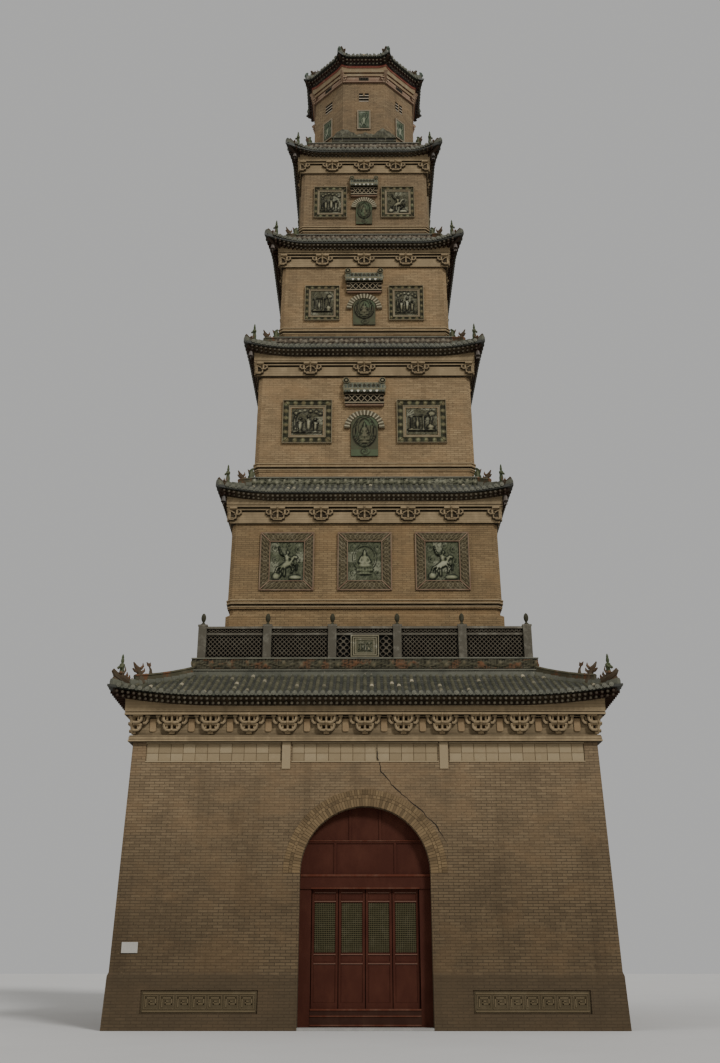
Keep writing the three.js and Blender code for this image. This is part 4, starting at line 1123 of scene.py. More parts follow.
def bracket_row(form, x, half, foot):
    """Brackets along a side at the places x, half ones against both corners, and the corner lumps."""
    whole, right, lumps = form
    places = spots(x, -half, foot)
    ends = joined([moved(right, (-half, -half, foot)), moved(scaled(right, ACROSS_X), (half, -half, foot))])
    return around(joined([repeated(whole, places), ends, moved(lumps, (half, -half, foot))]))


def storey_bracket():
    """An upper bracket: a broad bowl, an arm with an upturned tip at each side, an arch over the
    bowl, and a block on top, about a spine of noses. The dark board stands out beyond the bars, as
    their shadow does."""
    board = [(0, -0.025), (0.16, -0.025), (0.175, 0.015), (0.238, 0.02), (0.24, 0.145), (0.335, 0.15),
             (0.345, 0.19), (0.388, 0.20), (0.388, 0.32), (0.33, 0.37), (0, 0.37)]
    bowl = [(0, 0.012), (0.125, 0.012), (0.145, 0.048), (0.20, 0.058), (0.207, 0.15)]
    arm = [(0.15, 0.192), (0.305, 0.192), (0.32, 0.228), (0.358, 0.235), (0.358, 0.31), (0.315, 0.338)]
    arch = [(0.0, 0.300), (0.06, 0.295), (0.115, 0.262), (0.15, 0.235)]
    blocks = [(0, 0.028, 0.03, 0.30, 0.075), (0, 0.235, 0.378, 0.465, 0.11),
              (0.20, 0.255, 0.215, 0.378, 0.06),
              (0.045, 0.12, 0.055, 0.085, 0.06)]
    eyes = [(0.105, 0.135, 0.050, 0.034), (0.085, 0.225, 0.045, 0.022), (0.09, 0.345, 0.070, 0.026)]
    spine = [(0.02, 0.05), (0.06, 0.10), (0.12, 0.08), (0.2, 0.09), (0.24, 0.12), (0.28, 0.09),
             (0.33, 0.10), (0.37, 0.15), (0.41, 0.17), (0.47, 0.13)]
    return bracket([(bowl, 0.019, 0.085), (arm, 0.019, 0.075), (arch, 0.018, 0.080)], blocks, board, eyes,
                   spine, 0.10)


def ground_bracket():
    """A ground storey bracket: a foot, a lower and an upper bowl, a cup at each side, and a broad
    block on top."""
    upper = [(0, 0.30), (0.08, 0.295), (0.17, 0.305), (0.23, 0.36), (0.245, 0.47)]
    lower = [(0, 0.095), (0.07, 0.085), (0.15, 0.095), (0.205, 0.15), (0.225, 0.24)]
    cup = [(0.27, 0.29), (0.34, 0.285), (0.385, 0.34), (0.41, 0.455)]
    blocks = [(0, 0.27, 0.475, 0.56, 0.20), (0, 0.245, 0.235, 0.27, 0.13), (0.33, 0.45, 0.455, 0.52, 0.12),
              (0, 0.075, 0.0, 0.08, 0.05), (0.115, 0.165, 0.15, 0.24, 0.085),
              (0.115, 0.165, 0.36, 0.48, 0.115), (0.24, 0.31, 0.36, 0.475, 0.06)]
    board = [(0, 0.06), (0.16, 0.07), (0.23, 0.15), (0.25, 0.24), (0.36, 0.26), (0.42, 0.34), (0.43, 0.5),
             (0, 0.5)]
    eyes = [(0.075, 0.17, 0.03, 0.045), (0.075, 0.40, 0.03, 0.055), (0.195, 0.42, 0.018, 0.035)]
    spine = [(0.03, 0.06), (0.09, 0.14), (0.14, 0.11), (0.23, 0.14), (0.28, 0.22), (0.34, 0.17),
             (0.45, 0.19), (0.49, 0.27), (0.56, 0.22)]
    return bracket([(upper, 0.036, 0.16), (lower, 0.034, 0.12), (cup, 0.034, 0.10)], blocks, board, eyes,
                   spine, 0.45)


def standing_slab():
    """The upright slab between two ground brackets: its lower corners are rounded."""
    right = [(0.04, 0.0), (0.07, 0.01), (0.085, 0.035), (0.09, 0.35)]
    return plate([*right, *[(-x, z) for x, z in reversed(right)]], (-0.035, 0.02), 0.55)


# Carved panels.

def dome(x, z, cx, cz, rx, rz, turn=0.0):
    """A rounded swelling: sqrt(1 - u^2 - v^2) over an ellipse turned by turn."""
    c, s = math.cos(turn), math.sin(turn)
    u = ((x - cx) * c + (z - cz) * s) / rx
    v = ((z - cz) * c - (x - cx) * s) / rz
    return np.sqrt(np.clip(1 - u * u - v * v, 0, 1))


def stroke(x, z, points, width):
    """A round ridge along a line of points: sqrt(1 - (d / width)^2), d being the distance to it."""
    best = np.zeros(np.broadcast(x, z).shape)
    for (ax, az), (bx, bz) in zip(points[:-1], points[1:]):
        dx, dz = bx - ax, bz - az
        t = np.clip(((x - ax) * dx + (z - az) * dz) / (dx * dx + dz * dz), 0, 1)
        gap = np.hypot(x - ax - t * dx, z - az - t * dz) / width
        best = np.maximum(best, np.sqrt(np.clip(1 - gap ** 2, 0, 1)))
    return best


def curl(x, z, cx, cz, radius):
    """A cloud scroll: the crests of cos(2 pi (2 r / radius) - angle) inside a circle."""
    gap = np.hypot(x - cx, z - cz) / radius
    turn = np.arctan2(z - cz, x - cx)
    return np.clip(0.5 + 0.5 * np.cos(TURN * 1.6 * gap - turn), 0, 1) * np.clip(1.2 - gap, 0, 1)


def highest(x, z, domes, strokes, clouds=(), radius=0.24, share=0.5):
    """The highest of domes as (share, x, z, width, height), perhaps with a turn, of strokes as
    (share, width, *points), and of cloud scrolls of one radius and share at the places of clouds."""
    high = [part * dome(x, z, *where) for part, *where in domes]
    high += [part * stroke(x, z, points, width) for part, width, *points in strokes]
    high += [share * curl(x, z, cx, cz, radius) for cx, cz in clouds]
    return np.max(high, axis=0)


def seated(x, z):
    """A figure seated on a lotus before a ring of light, in a field two units high."""
    domes = [(1, 0, 0.36, 0.13, 0.16), (1, 0, 0.53, 0.07, 0.08), (0.95, 0, 0.08, 0.22, 0.27),
             (0.9, 0, -0.24, 0.46, 0.14), (0.7, 0, -0.64, 0.5, 0.07)]
    domes += [(0.8, step, -0.43 - 0.05 * (1 - abs(step)), 0.10, 0.12)
              for step in np.linspace(-0.42, 0.42, 6)]
    arms = [(1, 0.08, (side * 0.18, 0.2), (side * 0.32, -0.06), (side * 0.08, -0.12)) for side in (-1, 1)]
    gap = np.hypot(x, z - 0.15)
    ring = np.exp(-(((gap - 0.66) / 0.05) ** 2)) * 0.55
    rays = 0.25 * (0.5 + 0.5 * np.cos(12 * np.arctan2(z - 0.15, x))) * np.clip(1 - gap / 0.66, 0, 1) ** 0.5
    clouds = (-0.72, 0.72), (0.72, 0.72), (-0.72, -0.6), (0.72, -0.6)
    return np.max([highest(x, z, domes, arms, clouds), ring, rays], axis=0)


def rider(x, z):
    """A rider on a prancing beast among cloud scrolls and rocks."""
    domes = [(1, -0.02, -0.18, 0.38, 0.18, 0.35), (1, 0.0, 0.14, 0.15, 0.24, 0.2),
             (1, 0.05, 0.44, 0.10, 0.12), (1, -0.62, -0.78, 0.26, 0.2), (1, 0.5, -0.84, 0.42, 0.16)]
    neck_and_tail = [(1, 0.10, (0.24, -0.05), (0.42, 0.22), (0.56, 0.18)),
                     (1, 0.06, (-0.36, -0.28), (-0.56, -0.36), (-0.66, -0.6))]
    legs = [(1, 0.06, (-0.26, -0.3), (-0.40, -0.52), (-0.34, -0.74)),
            (1, 0.055, (-0.12, -0.3), (-0.14, -0.74)),
            (1, 0.055, (0.2, -0.2), (0.38, -0.42), (0.30, -0.6)),
            (1, 0.05, (0.3, -0.1), (0.58, -0.26), (0.56, -0.44))]
    arms = [(1, 0.06, (0.04, 0.22), (0.28, 0.14)), (1, 0.05, (-0.08, 0.24), (-0.34, 0.36), (-0.5, 0.72))]
    clouds = (0.62, 0.62), (-0.7, 0.1), (0.1, 0.8), (0.72, -0.02), (-0.75, 0.68)
    return highest(x, z, domes, neck_and_tail + legs + arms, clouds, 0.3, 0.55)


def attendants(x, z):
    """Three standing figures under a tree, with a ground line and clouds."""
    domes, strokes = [], [(0.8, 0.07, (-0.85, -0.72), (0.85, -0.76)),
                          (1, 0.06, (-0.72, -0.6), (-0.78, 0.1), (-0.66, 0.5))]
    for cx, cz, size in ((-0.42, -0.12, 0.85), (0.08, -0.02, 1.0), (0.50, -0.16, 0.8)):
        domes += [(1, cx, cz - 0.18, 0.17 * size, 0.46 * size), (1, cx, cz + 0.38 * size, 0.09, 0.11)]
        strokes.append((1, 0.06, (cx - 0.12, cz + 0.12), (cx - 0.02, cz - 0.06), (cx + 0.14, cz + 0.05)))
    leaves = (-0.7, 0.62), (-0.45, 0.74), (-0.15, 0.8), (0.2, 0.74), (0.55, 0.7), (0.8, 0.55)
    domes += [(0.75, *place, 0.17, 0.13) for place in leaves]
    return highest(x, z, domes, strokes, ((0.8, 0.15), (-0.22, 0.5), (0.32, 0.5)), 0.22)


def pavilion(x, z):
    """A small hall with a spreading roof, a rock, a tree and a traveller."""
    roof = np.clip(1 - np.abs(z - 0.42 + 0.35 * (x + 0.25) ** 2) / 0.09, 0, 1) * (np.abs(x + 0.25) < 0.55)
    domes = [(1, -0.26, -0.18, 0.14, 0.34), (1, -0.26, 0.2, 0.08, 0.09), (1, 0.55, -0.4, 0.26, 0.2),
             (0.8, 0.62, 0.55, 0.28, 0.2)]
    strokes = [(1, 0.05, (-0.62, 0.32), (-0.62, -0.55)), (1, 0.05, (0.1, 0.32), (0.1, -0.55)),
               (1, 0.08, (-0.8, -0.6), (0.8, -0.64)), (1, 0.06, (0.5, -0.3), (0.62, 0.2), (0.45, 0.6))]
    clouds = (-0.7, 0.78), (0.0, 0.78), (-0.75, -0.85), (0.2, -0.84), (0.75, -0.84)
    return np.maximum(roof, highest(x, z, domes, strokes, clouds))


def panel_relief(half, x0, z0, wide, high, proud, carving, steps=48, rise=0.055):
    """A carved field about (x0, z0), wide and high metres to each side, on the wall at half. Its
    ground lies proud of the wall, and its front stands rise higher where the carving is 1."""
    u = np.linspace(-1, 1, steps)[:, None]
    v = np.linspace(-1, 1, steps)[None]
    height = carving(u * np.ones_like(v), v * np.ones_like(u))
    rim = np.clip((1 - np.maximum(np.abs(u), np.abs(v))) / 0.05, 0, 1)
    height = np.maximum(height, backdrop(u, v)) * rim
    front = half + proud + rise * height
    return relief(x0 + u * wide, z0 + v * high, front, half - 0.02, shaded(height, 0.30, 0.62, 1.5))


def backdrop(x, z):
    """Small clouds and stones that fill the ground of a carved field."""
    high = [curl(x, z, -0.8 + 0.4 * i + 0.2 * (j % 2), -0.85 + 0.34 * j, 0.2)
            for i in range(5) for j in range(6)]
    return 0.38 * np.max(high, axis=0)


def scroll_border(half, x0, z0, outer, inner, proud, pitch, step=24, boss=False):
    """Four mitred boards of carving between two rectangles: each is a grid whose ends follow the
    mitre. Every pitch of its length holds a small ring with an eye, or with boss a broad leaf that
    swells as one less its squared distance from the middle."""
    forms = []
    for side in range(4):
        turned = side % 2
        far, near = (outer[turned], outer[1 - turned]), (inner[turned], inner[1 - turned])
        wide = far[1] - near[1]
        u, v = np.meshgrid(np.linspace(-1, 1, max(8, int(2 * far[0] * step))), np.linspace(0, 1, 7),
                           indexing="ij")
        along = u * (near[0] + (far[0] - near[0]) * v - 0.012)
        rise = (near[1] + wide * v) * (-1 if side >= 2 else 1)
        cells = max(3, round(2 * far[0] / pitch))
        local = ((along / (2 * far[0]) * cells) % 1 - 0.5) * pitch / wide
        if boss:
            height = np.clip(1.1 - (local * wide / pitch / 0.36) ** 2 - ((v - 0.5) / 0.42) ** 2, 0, 1)
            height = height * (0.45 + 0.55 * curl(local * 1.1, v - 0.5, 0, 0, 0.52))
        else:
            radius = np.hypot(local, v - 0.5)
            height = np.maximum(np.exp(-(((radius - 0.27) / 0.10) ** 2)), np.exp(-((radius / 0.08) ** 2)))
        height = np.maximum(height, 0.9 * np.exp(-((np.abs(v - 0.5) - 0.46) / 0.05) ** 2))
        x, z = (rise, along) if turned else (along, rise)
        tone = shaded(height, 0.08, 0.95, 0.4)
        forms.append(relief(x0 + x, z0 + z, half + proud + 0.035 * height, half - 0.02, tone))
    return joined(forms)


def strip_frame(half, x0, z0, wide, high, thick, proud):
    """A rectangular frame of square strips, mitred at its corners."""
    corners = np.array([(-wide, -high), (wide, -high), (wide, high), (-wide, high)])
    path = np.stack([x0 + corners[:, 0], np.full(4, -half), z0 + corners[:, 1]], -1)
    out = np.stack([np.sign(corners[:, 0]), np.zeros(4), np.sign(corners[:, 1])], -1)
    profile = [(0, -0.02), (thick, -0.02), (thick, proud), (0, proud)]
    return tube(path, out, FRONT, profile, closed=True, tone=0.8)


def mitre_strips(half, x0, z0, outer, inner, thick, proud):
    """Strips along the four mitres between two rectangles."""
    forms = []
    for sx, sz in ((-1, -1), (1, -1), (1, 1), (-1, 1)):
        path = np.array([(x0 + sx * a, -half, z0 + sz * b) for a, b in (inner, outer)])
        along = path[1] - path[0]
        side = np.array([along[2], 0, -along[0]]) / np.linalg.norm(along)
        profile = [(-thick / 2, -0.02), (thick / 2, -0.02), (thick / 2, proud), (-thick / 2, proud)]
        forms.append(tube(path, side, FRONT, profile, tone=0.8))
    return joined(forms)


# Panels: places along the wall, level, half width and half height, width of the border and of the
# strip inside it, and the carvings.
PANEL_SIZES = "xs z wide high border strip carvings"
PANELS = {
    "storey2": ((-2.44, 0.0, 2.44), 13.22, 0.85, 0.97, 0.32, 0.03, (rider, seated, rider)),
    "storey3": ((-1.93, 1.93), 18.46, 0.822, 0.80, 0.22, 0.05, (attendants, pavilion)),
    "storey4": ((-1.515, 1.515), 23.607, 0.615, 0.725, 0.15, 0.05, (pavilion, attendants)),
    "storey5": ((-1.29, 1.29), 28.567, 0.62, 0.71, 0.15, 0.05, (attendants, rider)),
}
# Niches: half width and springing of the arch, half width and foot of the plaque in it, then half
# width, foot and top of the hood over it.
NICHE_SIZES = "half springing plaque low canopy foot top"
NICHES = {
    "storey3": (0.66, 18.19, 0.455, 17.162, 0.71, 19.067, 20.141),
    "storey4": (0.615, 23.346, 0.40, 22.687, 0.68, 24.052, 25.087),
    "storey5": (0.465, 28.298, 0.305, 27.549, 0.535, 28.838, 29.817),
}


def wall_face(name):
    """Half width of a storey's wall at its middle, which its frames and niches are set out from."""
    _, foot, _, head = WALLS[name]
    return (foot + head) / 2


def panels(name):
    """The borders, strips and carved fields of one storey's panels."""
    sizes, half = named(PANEL_SIZES, PANELS[name]), wall_face(name)
    outer = np.array([sizes.wide, sizes.high])
    mid, near = outer - sizes.strip, outer - sizes.border
    borders, strips, fields = [], [], []
    for x0, carving in zip(sizes.xs, sizes.carvings):
        spot = half, x0, sizes.z
        if name == "storey2":
            strips += [strip_frame(*spot, *mid, sizes.strip, 0.06),
                       mitre_strips(*spot, mid, near, 0.030, 0.078),
                       strip_frame(*spot, *near, 0.022, 0.07)]
            borders.append(scroll_border(*spot, mid, near + 0.02, 0.042, 0.15, 30))
            fields.append(panel_relief(*spot, *near, 0.02, carving, 45))
        else:
            inner = near - sizes.strip
            strips += [strip_frame(*spot, *inner, sizes.strip, 0.045),
                       strip_frame(*spot, *near, 0.02, 0.065),
                       strip_frame(*spot, *(outer - 0.004), 0.018, 0.085)]
            borders.append(scroll_border(*spot, outer, near + 0.02, 0.042, 0.26, boss=True))
            fields.append(panel_relief(*spot, *inner, 0.02, carving, 36))
    return [around(joined(forms)) for forms in (borders, strips, fields)]


def voussoirs(z0, near, far, count, front, back, tone):
    """Wedges round an arch about (0, z0): wedge k lies between the angles k and k + 1 of count equal
    parts, less a joint, and between two radii."""
    edge = np.linspace(0, math.pi, count + 1)
    joint = math.pi / count * 0.07
    a, b = edge[:-1] + joint, edge[1:] - joint
    profile = np.stack([np.stack([radius * np.cos(angle), radius * np.sin(angle)], -1)
                        for radius, angle in ((near, a), (far, a), (far, b), (near, b))], 1)
    path = np.zeros((count, 2, 3))
    path[:, 0, 1] = -back
    path[:, 1, 1] = -(front(z0 + far * np.sin((a + b) / 2)) if callable(front) else front)
    path[..., 2] = z0
    return tube(path, RIGHT, UP, profile[:, None], tone=tone[:, None, None])


def medallion(x, z, z0, rx, rz):
    """An oval frame with a seated figure in it, on a plaque."""
    gap = np.hypot(x / rx, (z - z0) / rz)
    rim = np.exp(-(((gap - 1.0) / 0.07) ** 2)) * 0.85
    inside = np.where(gap < 0.94, 0.12 + 0.88 * seated(x / rx * 0.95, (z - z0) / rz * 0.85), 0)
    return np.maximum(rim, inside)


def niche(name, rng):
    """The voussoirs of a niche and its arched plaque with a medallion."""
    n = named(NICHE_SIZES, NICHES[name])
    half = wall_face(name)
    tone = 0.95 * (np.arange(31) % 2) + 0.12 * rng.random(31)
    ring = voussoirs(n.springing, n.half - 0.16, n.half + 0.02, 31, half + 0.085, half - 0.05, tone)
    u = np.linspace(-1, 1, 27)[:, None]
    v = np.linspace(0, 1, 41)[None]
    x = u * n.plaque
    reach = n.half - 0.15
    top = n.springing + np.sqrt(reach ** 2 - x ** 2)
    z = n.low + v * (top - n.low)
    span = n.springing + reach - n.low
    height = medallion(x, z, n.low + span * 0.58, n.plaque * 0.78, span * 0.34)
    foot = curl(x / n.plaque, (z - n.low) / span * 4 - 0.45, 0, 0, 0.55) * 0.5
    height = np.maximum(height, np.where(z < n.low + span * 0.2, foot, 0))
    edge = np.clip((1 - np.abs(u)) / 0.06, 0, 1) * np.clip((1 - v) / 0.04, 0, 1)
    height = height * edge
    plaque = relief(x, z, half + 0.062 + 0.05 * height, half - 0.05, shaded(height, 0.42, 0.5, 1.6))
    return around(ring), around(plaque)


def scroll_knob(radius):
    """A round scroll seen from its side: a disc with a sunk ring and a raised eye, facing -Y."""
    levels = [(0.3, 0.0), (1.0, 0.0), (1.0, 0.6), (0.8, 0.75), (0.65, 0.35), (0.45, 0.4), (0.35, 0.8),
              (0.05, 0.85)]
    points, faces, tone = turned_profile(np.array(levels) * radius, 10)
    # The sunk ring is dark and the eye pale: painted shade and highlight.
    tone = np.repeat([0.1, 0.2, 0.7, 0.8, 0.0, 0.05, 0.9, 1.0], 10)
    return points[:, [0, 2, 1]] * (1, -1, 1), [rows.copy() for rows in faces], tone


def canopy(name, rng):
    """The tiled hood over a niche: base mouldings, a lattice band, a row of barrel tiles, a carved
    slope and scrolls at each end. Gives the brick with the lattice band, the tiles, the dark blocks of
    painted shade behind the lattice and under the tiles, and the ornaments."""
    n = named(NICHE_SIZES, NICHES[name])
    half, wide, foot = wall_face(name), n.canopy, n.foot
    rise = (n.top - foot) / 1.035
    middle, tall = foot + 0.232 * rise, 0.122 * rise
    eave, core, crown = foot + 0.42 * rise, foot + 0.466 * rise, foot + 0.76 * rise

    def across(share, out, low, high, tone):
        span = -wide * share, wide * share
        return block(span, (-half - out, -half + 0.05), (foot + low * rise, foot + high * rise), tone)

    brick = [across(0.91, 0.112, -0.035, 0.022, 0.22), across(0.95, 0.135, 0.062, 0.092, 0.9),
             across(0.94, 0.135, 0.368, 0.386, 0.7)]
    # Near-black blocks behind the lattice and under the tiles: painted shade.
    dark = [across(0.93, 0.108, 0.0, 0.42, 0.0), across(0.96, 0.17, 0.386, 0.42, 0.0)]
    for centre in (np.arange(5) - 2) * wide * 0.30:
        for lean in (-wide * 0.15, wide * 0.15):
            line = [(centre - lean, middle - tall), (centre + lean, middle + tall)]
            brick.append(moved(bent_bar(line, 0.010, 0.02, (0.5, 0.5, 0.75, 0.75)), (0, -half - 0.108, 0)))
    tiles_across = 13
    steps = np.arange(tiles_across) - tiles_across // 2
    x = steps * 0.149 * wide
    run = ((0.222, eave + 0.045), (0.205, core + 0.115), (0.13, crown))
    path = np.stack([spots(x, -half - out, z) for out, z in run], 1)
    tone = 0.2 + rng.random(tiles_across)[:, None, None] * 0.5
    cup = np.array([(-1.1, 0.5), (-0.9, -0.5), (0, -1.1), (0.9, -0.5), (1.1, 0.5), (0, 0.9)]) * 0.060 * wide
    white = np.where((steps % 2 == 0) & (np.abs(steps) < 5), 1.0, 0.2)
    tiles = [tube(path, RIGHT, UP, circle(8) * 0.058 * wide, tone=tone),
             repeated(plate(cup, (-0.02, 0.01)), spots(x, -half - 0.225, eave + 0.030), white)]
    slab = [(-0.05, eave + 0.01), (0.216, eave + 0.005), (0.225, core + 0.075), (0.125, crown),
            (0.115, crown + 0.07), (-0.05, crown + 0.07)]
    ends = [tube([(-wide - 0.004, -half, 0), (wide + 0.004, -half, 0)], FRONT, UP, slab, tone=0.62)]
    leaf = turned_profile([(0.03, -0.06), (0.06, -0.02), (0.055, 0.04), (0.02, 0.09)], 7, 0.5, 0.12)
    ends += [moved(leaf, (x0, -half - 0.18, eave + 0.23 * rise))
             for x0 in np.linspace(-0.66, 0.66, 7) * wide]
    ends.append(across(0.74, 0.135, 0.74, 0.79, 0.7))
    for sign in (-1, 1):
        for x0, z0, radius in ((0.87, 0.875, 0.165), (0.91, 0.63, 0.14), (0.72, 0.80, 0.07)):
            place = sign * wide * x0, -half - 0.10, foot + z0 * rise
            ends.append(moved(scroll_knob(radius * wide), place))
        for x0 in (0.79, 0.90):
            brick.append(moved(scroll_knob(0.07 * wide), (sign * wide * x0, -half - 0.105, middle)))
    return [around(joined(forms)) for forms in (brick, tiles, dark, ends)]


# Balustrade.

def lattice(x, z, dx, dz, y, hole, corners=4):
    """Pierced tile: one diamond for each (x, z), dx wide and 2 dz high, with a hole of so many
    corners. Each is a closed ring of four walls: front, hole, back and rim. The hole darkens to the
    back, painted shade. The rim's points are those of a circle, each divided by the sum of its two
    coordinates."""
    ring = circle(corners)
    size = np.array([dx / 2, dz])
    rim, inner = ring / np.abs(ring).sum(1, keepdims=True) * size, ring * hole * size
    rings = [spots(edge[:, 0], depth, edge[:, 1])
             for edge, depth in ((rim, y[0]), (inner, y[0]), (inner, y[1]), (rim, y[1]))]
    index = np.arange(4 * corners).reshape(4, corners)
    after = np.roll(index, -1, 0)
    faces = np.stack([index, np.roll(index, -1, 1), np.roll(after, -1, 1), after], -1).reshape(-1, 4)
    form = outward(np.concatenate(rings), [faces], np.repeat([0.75, 0.55, 0.0, 0.0], corners))
    return repeated(form, spots(x, 0, z))


def staggered(x0, x1, z0, z1, dx, dz):
    """Centres of a staggered net that fills a rectangle."""
    columns = max(1, round((x1 - x0) / dx))
    dx = (x1 - x0) / columns
    rows = max(1, round((z1 - z0) / dz) - 1)
    dz = (z1 - z0) / (rows + 1)
    xs, zs = [], []
    for row in range(rows):
        odd = row % 2
        at = x0 + dx / 2 + dx * np.arange(columns) if not odd else x0 + dx * np.arange(1, columns)
        xs.append(at)
        zs.append(np.full(len(at), z0 + dz * (row + 1)))
    return np.concatenate(xs), np.concatenate(zs), dx, dz


def lotus_bud():
    """A lotus bud on a collar that tops a post."""
    return turned_profile([(0.10, 0.0), (0.10, 0.02), (0.05, 0.06), (0.028, 0.10), (0.05, 0.13),
                           (0.07, 0.19), (0.075, 0.25), (0.06, 0.32), (0.03, 0.365),
                           (0.005, 0.38)], 10, tone=0.3)


RAIL_HALF = 4.85
POST = 0.123
RAIL_POSTS = (-4.85, -2.91, -0.97, 0.97, 2.91, 4.85)
RAIL_MIDDLE = 9.89 + 0.39


def balustrade_side(corners):
    """One side of the balustrade: its stone posts and rails, its pierced nets and the lotus buds on
    its posts. The middle bay's nets leave room for the framed plaque, which is made apart."""
    stone, net, buds = [], [], []
    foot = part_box("balustrade_front")[0].z + SEAM

    def across(x, thick, low, high, tone):
        return block(x, (-RAIL_HALF - thick, -RAIL_HALF + thick), (foot + low, foot + high), tone)

    def pierced(x0, x1, low, high, wide, tall, thick, hole, sides=4):
        x, z, dx, dz = staggered(x0, x1, foot + low, foot + high, wide, tall)
        return lattice(x, z, dx, dz, (-RAIL_HALF - thick, -RAIL_HALF + thick), hole, sides)

    for x in RAIL_POSTS if corners else RAIL_POSTS[1:-1]:
        stone += [across((x - POST, x + POST), POST, 0, 1.0, 0.6),
                  across((x - 0.14, x + 0.14), 0.125, 1.0, 1.05, 0.8)]
        buds.append(moved(lotus_bud(), (x, -RAIL_HALF, foot + 1.05)))
    for left, right in zip(RAIL_POSTS[:-1], RAIL_POSTS[1:]):
        a, b = left + POST, right - POST
        stone += [across((a, b), thick, low, high, tone) for low, high, thick, tone in
                  ((0.0, 0.05, 0.075, 0.55), (0.735, 0.80, 0.07, 0.65), (0.93, 0.995, 0.09, 0.8))]
        # A thin dark sheet in the middle of the net, where there is nothing: painted shade behind the
        # holes.
        net += [across((a, b), 0.01, 0.05, 0.93, 0.0), pierced(a, b, 0.80, 0.93, 0.135, 0.045, 0.06, 0.74)]
        if abs(left + right) > 0.1:
            net.append(pierced(a, b, 0.05, 0.735, 0.135, 0.0685, 0.055, 0.77))
        else:
            net += [pierced(*sorted((sign * 0.43, sign * b)), 0.05, 0.735, 0.17, 0.098, 0.055, 0.62, 8)
                    for sign in (-1, 1)]
    return stone, net, buds


def plaque_in_rail():
    """The framed plaque of the middle bay: steps that go in, and a small hall in low relief."""
    z0, wide, high = RAIL_MIDDLE, 0.42, 0.335
    forms = [block((-wide, wide), (-4.90, -4.80), (z0 - high, z0 + high), 0.35)]
    for step in range(3):
        share = 1 - 0.17 * step
        forms.append(strip_frame(4.90, 0, z0, (wide - 0.03) * share, (high - 0.03) * share, 0.03,
                                 0.05 - 0.014 * step))
    forms.append(panel_relief(4.90, 0, z0, wide * 0.52, high * 0.52, 0.004, pavilion, 25, 0.03))
    return joined(forms)


# Ground storey.

def ground_frieze_ring():
    """The ledge, the frieze wall with its thin rails, and the cornice of the ground storey."""
    low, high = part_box("ground_frieze")
    half, cornice = GROUND_FRIEZE, GROUND_CORNICE
    # Tone 0 and 0.1 in the grooves and under the rails and the cornice paint their shade.
    rows = [(6.48, low.z + SEAM, 0.1), (6.48, low.z + 0.006, 0.95), (6.48, 7.205, 0.95),
            (6.462, 7.208, 0.1), (6.462, 7.216, 0.1), (6.466, 7.218, 0.7), (6.466, 7.29, 0.7),
            (6.45, 7.295, 0.1), (6.45, 7.33, 0.85), (half, 7.335, 0.3), (half, 7.798, 0.8),
            (half - 0.03, 7.80, 0.0), (half - 0.03, 7.83, 0.0), (half + 0.04, 7.833, 0.1),
            (half + 0.045, 7.836, 0.85), (half + 0.045, 7.852, 0.85), (half, 7.856, 0.0),
            (half, 7.862, 0.0), (cornice - 0.01, 7.868, 0.0), (cornice, 7.872, 0.9), (cornice, 7.93, 0.9),
            (cornice - 0.03, 7.933, 0.0), (cornice - 0.03, 7.952, 0.0), (cornice, 7.956, 0.8),
            (cornice, high.z - SEAM, 0.8)]
    return moulding(rows)


def on_wall(x, z, half, proud, tone=0.5):
    """A block on the front at y = -half, between two values of x and z: it stands proud of the wall
    and reaches 20 mm into it."""
    return block(x, (-half - proud, -half + 0.02), z, tone)


def face_slabs(z0, z1, x0, x1, half, pitch, rng, proud=0.012, joint=0.006):
    """One row of stone or brick slabs with open joints on the front at y = -half."""
    count = max(1, round((x1 - x0) / pitch))
    edge = np.linspace(x0, x1, count + 1)
    centre = (edge[:-1] + edge[1:]) / 2
    w = (x1 - x0) / count / 2 - joint
    slab = on_wall((-w, w), (z0 + joint, z1 - joint), half, proud)
    return repeated(slab, spots(centre, 0, 0), rng.random(count))


def key_fret(x0, z0, wide, high, half):
    """A squared spiral of strips, drawn as bars in a field."""
    t = 0.027
    w, h = wide / 2, high / 2
    bars = [(-w, -w + t, -h, h), (-w, w, h - t, h), (w - t, w, -h * 0.45, h),
            (-w * 0.35, w, -h * 0.45, -h * 0.45 + t), (-w * 0.35, -w * 0.35 + t, -h * 0.45, h * 0.35),
            (-w * 0.35, w * 0.35, h * 0.35 - t, h * 0.35)]
    return joined([on_wall((x0 + a, x0 + b), (z0 + c, z0 + d), half, 0.02, 0.8) for a, b, c, d in bars])


def plinth_strip():
    """Seven fret tiles in each sunk strip of the plinth, on a plain ground with a border."""
    half = (6.56 + 6.515) / 2 - 0.045
    wide, middle = 0.34, 0.645
    fret, ground = [], []
    for sign in (-1, 1):
        x0, x1 = sorted((sign * 2.72, sign * 5.60))
        ground.append(on_wall((x0, x1), (0.41, 0.90), half, 0.008, 0.3))
        fret += [on_wall((x0 + 0.03, x1 - 0.03), z, half, 0.022, 0.7) for z in ((0.42, 0.46), (0.83, 0.87))]
        for centre in sign * (2.96 + 0.40 * np.arange(7)):
            fret += [strip_frame(half, centre, middle, wide / 2 - 0.012, 0.145, 0.014, 0.022),
                     key_fret(centre, middle, wide * 0.78, 0.225, half)]
    return around(joined(fret)), around(joined(ground))


